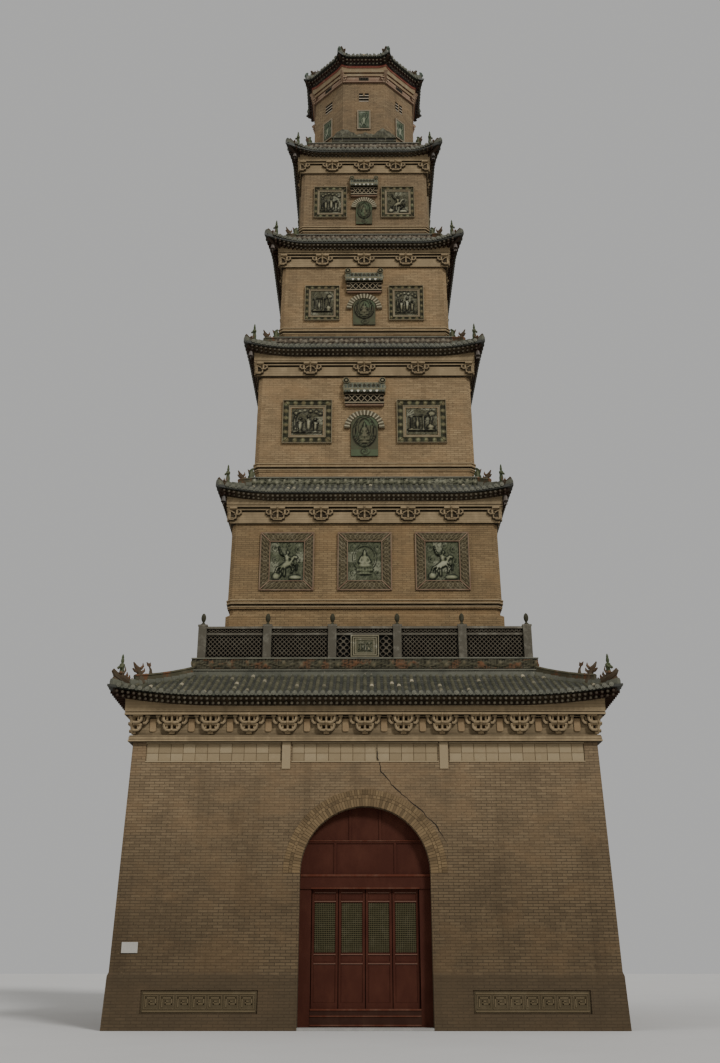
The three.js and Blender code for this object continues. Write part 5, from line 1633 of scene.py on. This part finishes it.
def crown_band(rng):
    """The sunk band under the ledge: two rows of pale bricks in each of its three lengths, between
    two thin ledges."""
    forms = []
    for x0, x1 in ((-5.98, -2.29), (-2.0, 2.0), (2.29, 5.98)):
        for z0, z1 in ((6.64, 6.86), (6.86, 7.12)):
            half = wall_half("ground", (z0 + z1) / 2) - 0.045
            forms.append(face_slabs(z0, z1, x0 + 0.01, x1 - 0.01, half, 0.33, rng, 0.016, 0.007))
        for z0 in (6.612, 7.122):
            forms.append(on_wall((x0, x1), (z0, z0 + 0.028), wall_half("ground", z0), 0.022, 0.9))
    return around(joined(forms))


def pilasters():
    """Low brick pilasters that run from the band down the wall."""
    front = -wall_half("ground", 6.4) - 0.02
    forms = [block(span, (front, -6.30), (6.43, 7.155), 0.7) for span in ((-2.26, -2.03), (2.03, 2.26))]
    return around(joined(forms))


def drain_slots():
    """Small drain slots in the plain band over the tiles of the ground skirt."""
    x = np.arange(-3, 4) * 1.98 * 0.82
    slot = block((-0.06, 0.06), (-5.09, -5.0), (9.475, 9.53), 0.0)
    return around(repeated(slot, spots(x, 0, 0)))


def wall_crack():
    """A settlement crack over the arch: a thin dark sliver that lies on the wall's face."""
    line = np.array([(0.30, 7.02), (0.38, 6.62), (0.42, 6.40), (0.66, 6.08), (0.80, 5.92), (1.085, 5.67),
                     (1.45, 5.37), (1.71, 5.11), (1.96, 4.84), (2.13, 4.50)])
    share = np.linspace(0, 1, 40)
    spread = np.linspace(0, 1, len(line))
    x = np.interp(share, spread, line[:, 0]) + 0.022 * np.sin(share * 61) * np.sin(share * 23)
    z = np.interp(share, spread, line[:, 1]) + 0.015 * np.sin(share * 47)
    half = wall_half("ground", z)
    path = np.stack([x, -half - 0.001, z], -1)
    along = np.gradient(path, axis=0)
    side = np.cross((0, 1, 0), along)
    side /= np.linalg.norm(side, axis=-1, keepdims=True)
    width = 0.010 + 0.004 * np.sin(share * 31)
    width = width * np.clip(8 * (1.03 - share), 0, 1) * np.clip(8 * (share + 0.05), 0, 1)
    profile = width[:, None, None] * np.array([(-1, 0), (1, 0), (1, 0), (-1, 0)])
    profile = profile + np.array([(0, -0.004), (0, -0.004), (0, 0.004), (0, 0.004)])
    return tube(path, side, FRONT, profile, tone=0.0)


def arch_rings(rng):
    """The brick rings over the doorway: an inner and an outer ring of headers, and a thin one between."""
    def front(z):
        return wall_half("ground", z) + 0.012

    rings = [(1.714, 1.915, 74), (1.925, 2.000, 60), (2.010, 2.150, 92)]
    return joined([voussoirs(3.729, near, far, count, front, 6.2, 0.15 + 0.8 * rng.random(count))
                   for near, far, count in rings])


# Door.

LEAF_FACE = -6.065
LEAF_BACK = -6.015


def bead_frame(x0, x1, z0, z1, face, thick=0.012, proud=0.010):
    """A bead round the edge of a sunk panel."""
    path = np.array([(x0, face, z0), (x1, face, z0), (x1, face, z1), (x0, face, z1)])
    centre = path.mean(0)
    out = np.sign(path - centre) * (1, 0, 1)
    profile = [(-thick, -0.012), (0, -0.012), (0, proud * 0.3), (-thick * 0.5, proud),
               (-thick, proud * 0.3)]
    return tube(path, out, FRONT, profile, closed=True, tone=0.6)


def door_leaf(x0, x1):
    """One leaf: stiles, rails and sunk panels, with strips of dust and painted highlight on the rails.
    Gives the joinery and the lattice that fills its upper light."""
    low, high, stile, w = 0.4603, 3.3667, 0.058, 0.006
    light = 1.79, 3.027
    a, b = x0 + stile, x1 - stile
    full, sunk = (LEAF_FACE, LEAF_BACK), (LEAF_FACE + 0.016, LEAF_BACK - 0.006)
    wood = [block(span, full, (low, high)) for span in ((x0, a), (b, x1))]
    rails = (low, 0.62), (1.529, 1.576), (1.743, light[0]), (light[1], 3.076), (3.249, high)
    wood += [block((a, b), full, span) for span in rails]
    # Strips at tone 1 along the rails' tops: dust and a painted highlight.
    wood += [block((a, b), (LEAF_FACE - 0.004, LEAF_FACE + 0.01), (z - 0.009, z + 0.009), 1.0)
             for z in (1.535, 1.755, 3.045, 3.262)]
    for span in ((0.62, 1.529), (1.576, 1.743), (3.076, 3.249)):
        wood += [block((a, b), sunk, span, 0.4), bead_frame(a, b, *span, LEAF_FACE + 0.010)]
    wood.append(bead_frame(a, b, *light, LEAF_FACE + 0.008))
    upright = block((-w, w), (LEAF_FACE + 0.014, LEAF_FACE + 0.026), light, 0.8)
    level = block((a, b), (LEAF_FACE + 0.010, LEAF_FACE + 0.026), (-w, w), 1.0)
    screen = [block((a, b), (LEAF_FACE + 0.024, LEAF_BACK - 0.006), light, 0.1),
              repeated(upright, spots(np.linspace(a, b, 13)[1:-1], 0, 0)),
              repeated(level, spots(0, 0, np.linspace(*light, 26)[1:-1]))]
    return joined(wood), joined(screen)


def door_beads():
    """Mouldings on the fixed work, in paler paint, a painted highlight with dust: along the lintel,
    round the arched boards, and on the threshold.
    """
    return joined([block((-x, x), (-out, -back), z, tone) for x, out, back, z, tone in (
        (1.70, 6.20, 6.12, (3.66, 3.715), 0.9), (1.42, 6.19, 6.12, (3.352, 3.385), 0.7),
        (1.405, 6.178, 6.12, (0.445, 0.482), 0.8), (1.405, 6.178, 6.12, (0.30, 0.33), 0.8),
        (1.405, 6.178, 6.12, (0.09, 0.12), 0.8), (1.50, 6.155, 6.10, (4.555, 4.58), 0.9))])


# Lantern and top.

def standing(x, z):
    """A figure that strides with one arm raised, on a low base."""
    domes = [(1, 0, -0.1, 0.34, 0.5), (1, 0, 0.5, 0.2, 0.16), (1, 0, -0.9, 0.7, 0.08)]
    limbs = [(1, 0.12, (-0.3, 0.1), (-0.55, -0.2), (-0.3, -0.4)),
             (1, 0.12, (0.3, 0.1), (0.55, 0.3), (0.5, 0.6)),
             (1, 0.12, (-0.2, -0.5), (-0.5, -0.8)), (1, 0.12, (0.2, -0.5), (0.5, -0.8))]
    return highest(x, z, domes, limbs)


def lantern_plaques():
    """An upright plaque with a standing figure on each face of the lantern."""
    half, z0, wide, high = 2.05 + 0.03, 32.99, 0.265, 0.49
    field = panel_relief(half, 0, z0, wide - 0.04, high - 0.04, 0.003, standing, 26, 0.035)
    frames = strip_frame(half, 0, z0, wide - 0.045, high - 0.045, 0.045, 0.022)
    return around(field, OCTAGON), around(frames, OCTAGON)


def lantern_crown():
    """The lantern's frieze from below: a pale ledge, a pale frieze with a pierced strip, a green rail
    and a cream rail, with dark grooves under the rails as painted shade. Gives the brick, the painted
    rails, the strips' frames, their dark cells and the dark block behind them, which paint the shade
    in the strip's holes, and the corner brackets."""
    low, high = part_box("lantern_frieze")
    half = 2.065
    brick = moulding([(half + 0.03, low.z + SEAM, 0.4), (half + 0.04, low.z + 0.045, 1.0),
                      (half, low.z + 0.055, 0.3),
                      (half, 35.24, 0.8)], OCTAGON)
    rails = moulding([(half, 35.24, 0.0), (half, 35.262, 0.0), (half + 0.04, 35.265, 0.9),
                      (half + 0.045, 35.385, 0.9), (half + 0.02, 35.39, 0.0), (half + 0.02, 35.425, 0.0),
                      (2.15, 35.43, 1.0), (2.16, high.z - SEAM, 1.0)], OCTAGON)
    strips = strip_frame(half, 0, 35.13, 0.20, 0.085, 0.012, 0.012)
    cell = turned_profile([(0.018, -0.03), (0.034, -0.026), (0.034, 0.026), (0.018, 0.03)], 8, 0.35, 0.5)
    places = [((k - 1.5) * 0.1, -half - 0.012, 35.088 + 0.085 * row) for k in range(4) for row in range(2)]
    # The holes are not cut: a dark block and dark cells paint their shade.
    holes = joined([block((-0.20, 0.20), (-half - 0.004, -half + 0.02), (35.045, 35.215), 0.0),
                    repeated(cell, places)])
    reach = half * math.tan(math.pi / OCTAGON)
    arms = []
    for k, (a, z) in enumerate(((0.07, 35.02), (0.13, 35.12), (0.17, 35.22))):
        bow = [(0, z - 0.05), (a * 0.7, z - 0.05), (a, z + 0.01)]
        for sign in (-1, 1):
            arm = scaled(bent_bar(bow, 0.02, 0.05 + 0.03 * k), (-sign, 1, 1))
            arms.append(moved(arm, (sign * reach, -half, 0)))
    lump = noses([(34.98, 0.02), (35.03, 0.10), (35.08, 0.05), (35.14, 0.13), (35.19, 0.08), (35.26, 0.17),
                  (35.3, 0.1), (35.36, 0.16), (35.42, 0.22), (35.5, 0.12)], 0.05)
    corner = moved(spun(lump, math.pi / OCTAGON), (reach, -half, 0))
    return brick, rails, *[around(form, OCTAGON) for form in (strips, holes, joined([*arms, corner]))]


TRIGRAM_ROWS = ((0, 1, 1), (0, 0, 0), (1, 0, 1), (1, 1, 0), (0, 0, 1), (1, 0, 0), (0, 1, 0), (1, 1, 1))


def trigram_slots():
    """The dark bars, painted shade that stands for sunk slots: three rows on each side of the lantern,
    whole or broken, in the old order round the compass. Gives the bars and the pale sills under them."""
    bars, sills = [], []
    for side, rows in enumerate(TRIGRAM_ROWS):
        for whole, z0 in zip(rows, (34.37, 34.22, 34.07)):
            face = wall_half("lantern", z0)
            for span in ((-0.195, 0.195),) if whole else ((-0.195, -0.04), (0.04, 0.195)):
                bar = block(span, (-face - 0.004, -1.965), (z0 - 0.05, z0 + 0.052), 0.0)
                bars.append(spun(bar, side * TURN / OCTAGON))
                sill = on_wall(span, (z0 - 0.092, z0 - 0.05), face, 0.014, 1.0)
                sills.append(spun(sill, side * TURN / OCTAGON))
    return joined(bars), joined(sills)


def broken_ridge(rng):
    """The ridge over the fifth skirt: a low rail with dark cells in front, and behind it a rough
    weathered mass with two humps. Its crest is the sum of two bells and a slow wave."""
    x = np.linspace(-1.28, 1.28, 76)[:, None]
    v = np.linspace(0, 1, 10)[None]
    crest = 32.27 + 0.26 * np.exp(-(((np.abs(x) - 0.80) / 0.22) ** 2)) + 0.045 * np.sin(11 * x + 1)
    crest = crest + 0.02 * np.sin(27 * x)
    crest = crest - 0.24 * np.clip((np.abs(x) - 1.0) / 0.28, 0, 1) ** 1.5
    z = 31.72 + v * (crest - 31.72)
    rough = 0.5 + 0.25 * np.sin(37 * x + 5 * v) * np.cos(19 * x - 9 * v) + 0.25 * rng.random((76, 10))
    front = 2.10 + 0.05 * (1 - v ** 2) + 0.05 * rough * np.sin(math.pi * np.clip(v, 0.02, 0.98))
    mass = relief(x, z, front, 2.0, rough)
    low, high = 31.785, 31.935
    rail = [block((-1.28, 1.28), (-2.24, -2.10), span, 0.7) for span in ((31.745, low), (high, 31.975))]
    cells = []
    for centre in (np.arange(7) - 3) * 0.345:
        rail.append(block((centre - 0.172 - 0.02, centre - 0.172 + 0.02), (-2.235, -2.10), (low, high),
                          0.6))
        cells.append(block((centre - 0.15, centre + 0.15), (-2.205, -2.10), (low, high), 0.1))
    return [around(form) for form in (mass, joined(rail), joined(cells))]


def eave_knobs(skirt):
    """Small glazed buds that stand along the edge of the lantern's tiles."""
    x = np.linspace(-0.7, 0.7, 6)
    here, _ = slope_frame(skirt, x, np.full(6, 0.06))
    bud = turned_profile([(0.03, -0.02), (0.045, 0.03), (0.028, 0.06), (0.045, 0.10), (0.02, 0.15),
                          (0.003, 0.17)], 7, tone=0.3)
    return around(repeated(bud, here + (0, 0, 0.03)), OCTAGON)


def lantern_corner():
    """An up-curled glazed head on a lantern corner, looking out along +X."""
    stem = limb([(-0.18, 0.0), (-0.04, 0.03), (0.02, 0.12), (0.0, 0.24), (-0.05, 0.32)],
                [0.07, 0.085, 0.09, 0.06, 0.02], 8, 0.9, 0.35)
    crest = limb([(-0.14, 0.08), (-0.20, 0.22), (-0.17, 0.33)], [0.06, 0.05, 0.015], 6, 0.8, 0.9)
    return joined([stem, crest])


def finial_form():
    """The finial: a stepped collar, a swelling vase and a ball."""
    levels = [(0.20, 0.0), (0.20, 0.05), (0.15, 0.07), (0.12, 0.12), (0.17, 0.20), (0.18, 0.27),
              (0.12, 0.35), (0.07, 0.39), (0.10, 0.43), (0.07, 0.47), (0.09, 0.52), (0.115, 0.60),
              (0.105, 0.68), (0.06, 0.75), (0.01, 0.7985)]
    return moved(turned_profile(levels, 24), (0, 0, 37.8505))


# Operators: each makes one kind of piece.

# What the niches and their hoods are made of: part, finish and slot, in the order they are made.
NICHE_PARTS = (
    ("niche_arch", "voussoir_brick", "carved_brick"),
    ("niche_plaque", "inset_glaze", "glazed_tile"),
    ("hood_band", "hood_band", "carved_brick"),
    ("hood_tiles", "hood_tile", "glazed_tile"),
    ("hood_ground", "hood_ground", "carved_brick"),
    ("hood_ends", "hood_ornament", "glazed_tile"),
)


class PAGODA_OT_stage(bpy.types.Operator):
    """Sets the camera at the eye's place before the door, a pale floor and soft studio light"""
    bl_idname = "pagoda.stage"
    bl_label = "Stage"

    def execute(self, context):
        stage = context.scene.pagoda_stage
        lens = bpy.data.cameras.new("camera")
        lens.sensor_width = 36
        lens.lens = 36 * stage.focal
        lens.clip_end = 500
        camera = bpy.data.objects.new("camera", lens)
        context.scene.collection.objects.link(camera)
        camera.location = (0, -stage.distance, stage.eye)
        camera.rotation_euler = (math.pi / 2 + stage.tilt, 0, 0.0047)
        context.scene.camera = camera
        world = bpy.data.worlds.new("surroundings")
        context.scene.world = world
        world.use_nodes = True
        sky = world.node_tree.nodes["Background"]
        sky.inputs["Color"].default_value = (0.93, 0.93, 0.92, 1)
        sky.inputs["Strength"].default_value = stage.fill
        for name, share, angle, spread in (("key", 1.0, (52, 0, 34), 12), ("side", 0.28, (60, 0, -62), 40)):
            sun = bpy.data.lights.new(name, "SUN")
            sun.energy = stage.key * share
            sun.angle = math.radians(spread)
            lamp = bpy.data.objects.new(name, sun)
            lamp.rotation_euler = [math.radians(part) for part in angle]
            context.scene.collection.objects.link(lamp)
        finish = Finish("pale_floor")
        tint = finish.mix(finish.noise(0.3, 3), (0.50, 0.49, 0.47), (0.56, 0.55, 0.53))
        reach = 120
        floor = block((-reach, reach), (-reach, reach), (-0.2, -0.002))
        mesh = bpy.data.meshes.new("floor_stage")
        mesh.from_pydata(floor[0].tolist(), [], [row.tolist() for rows in floor[1] for row in rows])
        mesh.materials.append(finish.surface(tint, 0.9))
        ground = bpy.data.objects.new("floor_stage", mesh)
        context.scene.collection.objects.link(ground)
        return {"FINISHED"}


class PAGODA_OT_brickwork(bpy.types.Operator):
    """Gives the plain walls, the friezes and the floor their brick and slab finishes"""
    bl_idname = "pagoda.brickwork"
    bl_label = "Brickwork"

    def execute(self, context):
        brick = context.scene.pagoda_brick
        light, dark, mortar = tuple(brick.light), tuple(brick.dark), tuple(brick.mortar)

        def darkened_colours(share, fade=0.0):
            """The three colours darkened by share, and drawn by fade towards their own grey."""
            return [tuple((part + (sum(shade) / 3 - part) * fade) * share for part in shade)
                    for shade in (light, dark, mortar)]

        # The ground storey's bricks are darkened by 0.74 and grow darker again below 6.6 m: painted tree
        # shade, together with dirt.
        base = brickwork("ground_brick", *darkened_colours(0.74, 0.14), brick.course * 1.04, brick.brick * 1.04,
                         0.009, 1.34, grime=6.6)
        kept([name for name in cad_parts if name.startswith("wall_")], base)
        upper = brickwork("storey_brick", *darkened_colours(0.95, 0.06), brick.course, brick.brick, wear=1.3)
        kept(["storey3_wall", "storey4_wall", "chamber_vault"], upper)
        top = brickwork("top_brick", *darkened_colours(0.75, 0.12), brick.course, brick.brick, wear=1.8)
        kept(["storey5_wall", "lantern_wall"], top)
        # The terrace wall's foot is painted in deep shade, so that the balustrade's holes read dark.
        terrace = brickwork("terrace_brick", *darkened_colours(0.76), brick.course, brick.brick, shade=10.9)
        kept(["storey2_wall"], terrace)
        smooth = brickwork("frieze_brick", tuple(brick.frieze), light, light, 0.16, 0.9, 0.004, depth=0.003)
        kept([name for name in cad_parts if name.endswith("_frieze")], smooth)
        kept(["floor"], "floor_slabs")
        return {"FINISHED"}


class PAGODA_OT_tile_skirts(bpy.types.Operator):
    """Lays the beds, barrel tiles, pan tiles and eave ends of all the skirts"""
    bl_idname = "pagoda.tile_skirts"
    bl_label = "Tile skirts"

    def execute(self, context):
        tiles = context.scene.pagoda_tiles
        green, worn, bare = tuple(tiles.green), tuple(tiles.worn), tuple(tiles.bare)
        # The ground skirt's worn glaze is darkened: painted tree shade.
        tree_shaded_worn = tuple(part * share for part, share in zip(worn, (0.70, 0.67, 0.54)))
        upper = glazed("glazed_tile", green, worn, bare)
        low = glazed("ground_tile", green, tree_shaded_worn, bare)
        # The bed and the pan sills are darker than the barrels: painted shade between the barrel rows.
        bed = glazed("tile_bed", dimmed(green, 0.3), dimmed(worn, 0.3), green)
        pans = glazed("pan_tile", dimmed(green, 0.45), dimmed(worn, 0.45), worn)
        rng = np.random.default_rng(7)
        for name in SKIRTS:
            skirt = skirt_of(name)
            turns = np.arange(skirt.sides) * TURN / skirt.sides
            make_piece(f"{name}_tile_bed", tile_bed(skirt), bed, [f"{name}_roof"])
            barrels = low if name == "ground" else upper
            for part, made, finish, crease in (("barrel", barrel_rows, barrels, 50),
                                               ("eave", eave_ends, upper, 35), ("pan", pan_ribs, pans, 35)):
                rows = joined([spun(made(skirt, tiles, rng), turn) for turn in turns])
                make_piece(f"{name}_{part}_tiles", rows, finish, crease=crease)
        return {"FINISHED"}


class PAGODA_OT_rafters(bpy.types.Operator):
    """Sets the two rows of round rafters and the corner beams under each skirt"""
    bl_idname = "pagoda.rafters"
    bl_label = "Rafters"

    def execute(self, context):
        tiles = context.scene.pagoda_tiles
        finish = rafter_finish("rafter_paint", tuple(tiles.timber), (0.135, 0.114, 0.074))
        for name in SKIRTS:
            skirt = skirt_of(name)
            rows = around(rafter_rows(skirt, tiles), skirt.sides)
            make_piece(f"{name}_rafters", rows, finish)
            make_piece(f"{name}_corner_beams", corner_beam(skirt), finish)
        return {"FINISHED"}


class PAGODA_OT_hips(bpy.types.Operator):
    """Builds the hips, their beasts and figures, the ridge bands and the wind bells"""
    bl_idname = "pagoda.hips"
    bl_label = "Hips and ridges"

    def execute(self, context):
        tiles = context.scene.pagoda_tiles
        finish = glazed("hip_tile", tuple(tiles.green), tuple(tiles.worn), tuple(tiles.bare))
        for name in SKIRTS:
            skirt = skirt_of(name)
            make_piece(f"{name}_hips", hip_bars(skirt), finish)
            if name == "lantern":
                heads = at_hip(skirt, dragon_head(0.9), 0.42, 0.06)
                make_piece("lantern_hip_heads", heads, "hip_figures")
                continue
            size, inset, level, carving, pitch = HIP_WORK.get(name, HIP_WORK["others"])
            make_piece(f"{name}_upper_hips", upper_hip(skirt), "ridge_dull")
            beasts = joined([at_hip(skirt, dragon_head(size), inset, level),
                             at_hip(skirt, hip_beast(size * 0.92), 0.62, 0.08),
                             at_hip(skirt, hip_fish(size), 0.88, 0.22)])
            make_piece(f"{name}_hip_figures", beasts, "hip_figures")
            robed = at_hip(skirt, robed_figure(size), 0.27, 0.08)
            make_piece(f"{name}_robed_figures", robed, "robe_glaze")
            if name != "ground":
                place = np.array([1, -1, 0]) * (skirt.ridge_half - 0.03) + (0, 0, skirt.ridge_top - 0.10)
                leaf = around(moved(spun(end_leaf(0.74), -math.pi / 4), place))
                make_piece(f"{name}_ridge_leaves", leaf, "robe_glaze")
                tip = hip_point(skirt, 0.20)[0] + (0, 0, -0.26)
                make_piece(f"{name}_wind_bells", around(moved(wind_bell(), tip)), "bell_metal")
            make_piece(f"{name}_ridge_carving", ridge_relief(skirt, pitch), carving)
            make_piece(f"{name}_ridge_coping", ridge_coping(skirt), finish)
        return {"FINISHED"}


class PAGODA_OT_friezes(bpy.types.Operator):
    """Builds the friezes, their rails and their brick brackets"""
    bl_idname = "pagoda.friezes"
    bl_label = "Friezes and brackets"

    def execute(self, context):
        brick = context.scene.pagoda_brick
        light, shade = tuple(brick.frieze), (0.020, 0.014, 0.007)
        middle = dimmed(light, 0.62)
        finish = carved("frieze_work", shade, middle, light, pale=dimmed(light, 1.15), course=0.085)
        for name, (half, cornice, head, foot, brackets) in FRIEZES.items():
            low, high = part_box(f"{name}_frieze")
            levels = [(half - 0.03, low.z + SEAM, 0.0), (half - 0.03, foot, 0.0), (half, foot + 0.003, 0.8),
                      *frieze_head(half, cornice, head), (cornice, head + 0.03, 0.85),
                      (cornice, high.z - SEAM, 0.85)]
            make_piece(f"{name}_frieze_ring", moulding(levels), finish, [f"{name}_frieze"])
            row = bracket_row(storey_bracket(), np.array(brackets), half, head - 0.485)
            make_piece(f"{name}_brackets", row, finish)
            make_piece(f"{name}_base", storey_base(name), finish)
        for name, cornice in [*((name, sizes[1]) for name, sizes in FRIEZES.items()),
                              ("ground", GROUND_CORNICE)]:
            make_piece(f"{name}_eave_ring", eave_ring(skirt_of(name), cornice), finish,
                       [f"{name}_eave"])
        make_piece("ground_frieze_ring", ground_frieze_ring(), finish, ["ground_frieze"])
        bright = dimmed(light, 1.25)
        shaded_work = carved("ground_bracket_work", shade, dimmed(middle, 0.8), bright, pale=bright)
        row = bracket_row(ground_bracket(), (np.arange(11) - 5) * BRACKET_PITCH, GROUND_FRIEZE, 7.373)
        make_piece("ground_brackets", row, shaded_work)
        places = spots((np.arange(12) - 5.5) * BRACKET_PITCH, -GROUND_FRIEZE, 7.44)
        # The slabs' middle colour is darker and redder than the frieze: their own brown, together with
        # painted shade between the brackets.
        slab = carved("slab_brick", shade, (light[0] * 0.72, light[1] * 0.66, light[2] * 0.62), light,
                      pale=light)
        make_piece("ground_frieze_slabs", around(repeated(standing_slab(), places)), slab)
        return {"FINISHED"}


class PAGODA_OT_panels(bpy.types.Operator):
    """Sets the carved panels, niches and canopies on the storeys"""
    bl_idname = "pagoda.panels"
    bl_label = "Panels, niches and canopies"

    def execute(self, context):
        rng = np.random.default_rng(11)
        for name in PANELS:
            finishes = "scroll_border", "olive_strip", "field_brown"
            if name == "storey2":
                finishes = "eye_border", "rose_strip", "field_green"
            slots = "glazed_tile", "carved_brick", "carved_brick"
            for part, form, finish, slot in zip(("borders", "strips", "fields"), panels(name), finishes,
                                                slots):
                make_piece(f"{name}_panel_{part}", form, finish)
        for name in NICHES:
            for form, (part, finish, slot) in zip([*niche(name, rng), *canopy(name, rng)], NICHE_PARTS):
                make_piece(f"{name}_{part}", form, finish)
        return {"FINISHED"}


class PAGODA_OT_balustrade(bpy.types.Operator):
    """Builds the pierced balustrade over the ground skirt"""
    bl_idname = "pagoda.balustrade"
    bl_label = "Balustrade"

    def execute(self, context):
        for side, name in enumerate(("front", "right", "back", "left")):
            work, net, buds = balustrade_side(name in ("front", "back"))
            for part, form, finish, *replaced in (
                    ("posts", joined(work), "rail_stone", f"balustrade_{name}"),
                    ("net", joined(net), "net_tile"),
                    ("buds", joined(buds), "bud_glaze"), ("plaque", plaque_in_rail(), "rail_plaque")):
                make_piece(f"balustrade_{name}_{part}", spun(form, side * TURN / 4), finish,
                           replaced)
        return {"FINISHED"}


class PAGODA_OT_ground_storey(bpy.types.Operator):
    """Adds the arch rings, bands, pilasters, frets and crack of the ground storey"""
    bl_idname = "pagoda.ground_storey"
    bl_label = "Ground storey"

    def execute(self, context):
        brick = context.scene.pagoda_brick
        light, dark = tuple(brick.light), tuple(brick.dark)
        rng = np.random.default_rng(5)
        ring = carved("ring_brick", dimmed(dark, 0.40), dimmed(dark, 0.66), dimmed(light, 0.62), pale=dark)
        make_piece("doorway_rings", arch_rings(rng), ring)
        make_piece("crown_band_slabs", crown_band(rng), "band_slabs")
        make_piece("ground_pilasters", pilasters(), "band_slabs")
        fret, ground = plinth_strip()
        make_piece("plinth_frets", fret, "fret_brick")
        make_piece("plinth_fret_ground", ground, "fret_brick")
        make_piece("drain_slots", drain_slots(), "shadow_gap")
        make_piece("wall_crack", wall_crack(), "shadow_gap")
        half = wall_half("ground", 1.92)
        make_piece("blank_tablet", block((-6.20, -5.79), (-half - 0.03, -half + 0.05), (1.79, 2.05)),
                   "blank_tablet")
        return {"FINISHED"}


class PAGODA_OT_door(bpy.types.Operator):
    """Builds the four door leaves with their lattices, and paints the frame"""
    bl_idname = "pagoda.door"
    bl_label = "Door"

    def execute(self, context):
        kept(["door_frame", "door_arch_board"], "door_paint")
        kept(["door_threshold"], "threshold_paint")
        make_piece("door_beads", door_beads(), "door_dust")
        for leaf in range(1, 5):
            low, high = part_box(f"door_leaf_{leaf}")
            wood, screen = door_leaf(low.x, high.x)
            make_piece(f"leaf_{leaf}_joinery", wood, "door_paint", [f"door_leaf_{leaf}"],
                       f"leaf_{leaf}")
            make_piece(f"leaf_{leaf}_lattice", screen, "lattice_paint", (), f"leaf_{leaf}")
        return {"FINISHED"}


def gilt():
    """Rubbed gilding of the finial."""
    finish = Finish("finial_gilt")
    wear = finish.ramp(finish.noise(9.0, 4), 0.35, 0.7)
    colour = finish.mix(wear, (0.62, 0.42, 0.16), (0.30, 0.24, 0.13))
    rough = finish.math("ADD", 0.28, finish.math("MULTIPLY", wear, 0.35))
    return finish.surface(colour, rough, wear, 0.003, 0.4, Metallic=0.9)


class PAGODA_OT_lantern(bpy.types.Operator):
    """Builds the lantern's plaques, painted eave, corner heads, the rough ridge below and the finial"""
    bl_idname = "pagoda.lantern"
    bl_label = "Lantern and top"

    def execute(self, context):
        skirt = skirt_of("lantern")
        fields, strips = lantern_plaques()
        brick, rails, frames, holes, arms = lantern_crown()
        bars, sills = trigram_slots()
        mass, rail, cells = broken_ridge(np.random.default_rng(3))
        for name, form, finish, slot, *replaced in (
                ("lantern_plaque_fields", fields, "plaque_glaze", "glazed_tile"),
                ("lantern_plaque_frames", strips, "plaque_strip", "carved_brick"),
                ("lantern_frieze_ring", brick, "crown_brick", "brick", "lantern_frieze"),
                ("lantern_rails", rails, "crown_rail", "brick"),
                ("lantern_strip_frames", frames, "crown_brick", "carved_brick"),
                ("lantern_cells", holes, "crown_cells", "carved_brick"),
                ("lantern_corner_arms", arms, "crown_brick", "carved_brick"),
                ("lantern_eave_ring", eave_ring(skirt, 2.16, 0.09), "crown_rail", "brick", "lantern_eave"),
                ("lantern_trigrams", bars, "slot_shade", "carved_brick"),
                ("lantern_trigram_sills", sills, "slot_sill", "carved_brick"),
                ("lantern_eave_knobs", eave_knobs(skirt), "bud_tile", "glazed_tile"),
                ("lantern_corner_heads", at_hip(skirt, lantern_corner(), 0.12, 0.02), "bud_tile",
                 "glazed_tile"),
                ("storey5_rough_ridge", mass, "rough_ridge", "glazed_tile"),
                ("storey5_ridge_rail", rail, "rough_ridge", "glazed_tile"),
                ("storey5_ridge_cells", cells, "ridge_cells", "glazed_tile"),
                ("finial_vase", finial_form(), gilt(), "finial_metal", "finial")):
            make_piece(name, form, finish, replaced)
        return {"FINISHED"}


class PAGODA_PT_panel(bpy.types.Panel):
    """Lists the pagoda's settings and makes its pieces"""
    bl_label = "Pagoda"
    bl_idname = "PAGODA_PT_panel"
    bl_space_type = "VIEW_3D"
    bl_region_type = "UI"
    bl_category = "Pagoda"

    def draw(self, context):
        for name, group in GROUPS.items():
            box = self.layout.box()
            for field in group.__annotations__:
                box.prop(getattr(context.scene, name), field)
        for operator in OPERATORS:
            self.layout.operator(operator.bl_idname)


GROUPS = {
    "pagoda_brick": PagodaBrickSettings,
    "pagoda_tiles": PagodaTileSettings,
    "pagoda_stage": PagodaStageSettings,
}
OPERATORS = [
    PAGODA_OT_stage,
    PAGODA_OT_brickwork,
    PAGODA_OT_tile_skirts,
    PAGODA_OT_rafters,
    PAGODA_OT_hips,
    PAGODA_OT_friezes,
    PAGODA_OT_panels,
    PAGODA_OT_balustrade,
    PAGODA_OT_ground_storey,
    PAGODA_OT_door,
    PAGODA_OT_lantern,
]


def register():
    for item in [*GROUPS.values(), *OPERATORS, PAGODA_PT_panel]:
        bpy.utils.register_class(item)
    for name, group in GROUPS.items():
        setattr(bpy.types.Scene, name, PointerProperty(type=group))


def unregister():
    for name in GROUPS:
        delattr(bpy.types.Scene, name)
    for item in [PAGODA_PT_panel, *reversed(OPERATORS), *reversed(GROUPS.values())]:
        bpy.utils.unregister_class(item)


def main():
    """Registers the classes and makes every piece in order."""
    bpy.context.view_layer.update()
    register()
    for operator in OPERATORS:
        group, name = operator.bl_idname.split(".")
        getattr(getattr(bpy.ops, group), name)()


if __name__ == "__main__":
    main()
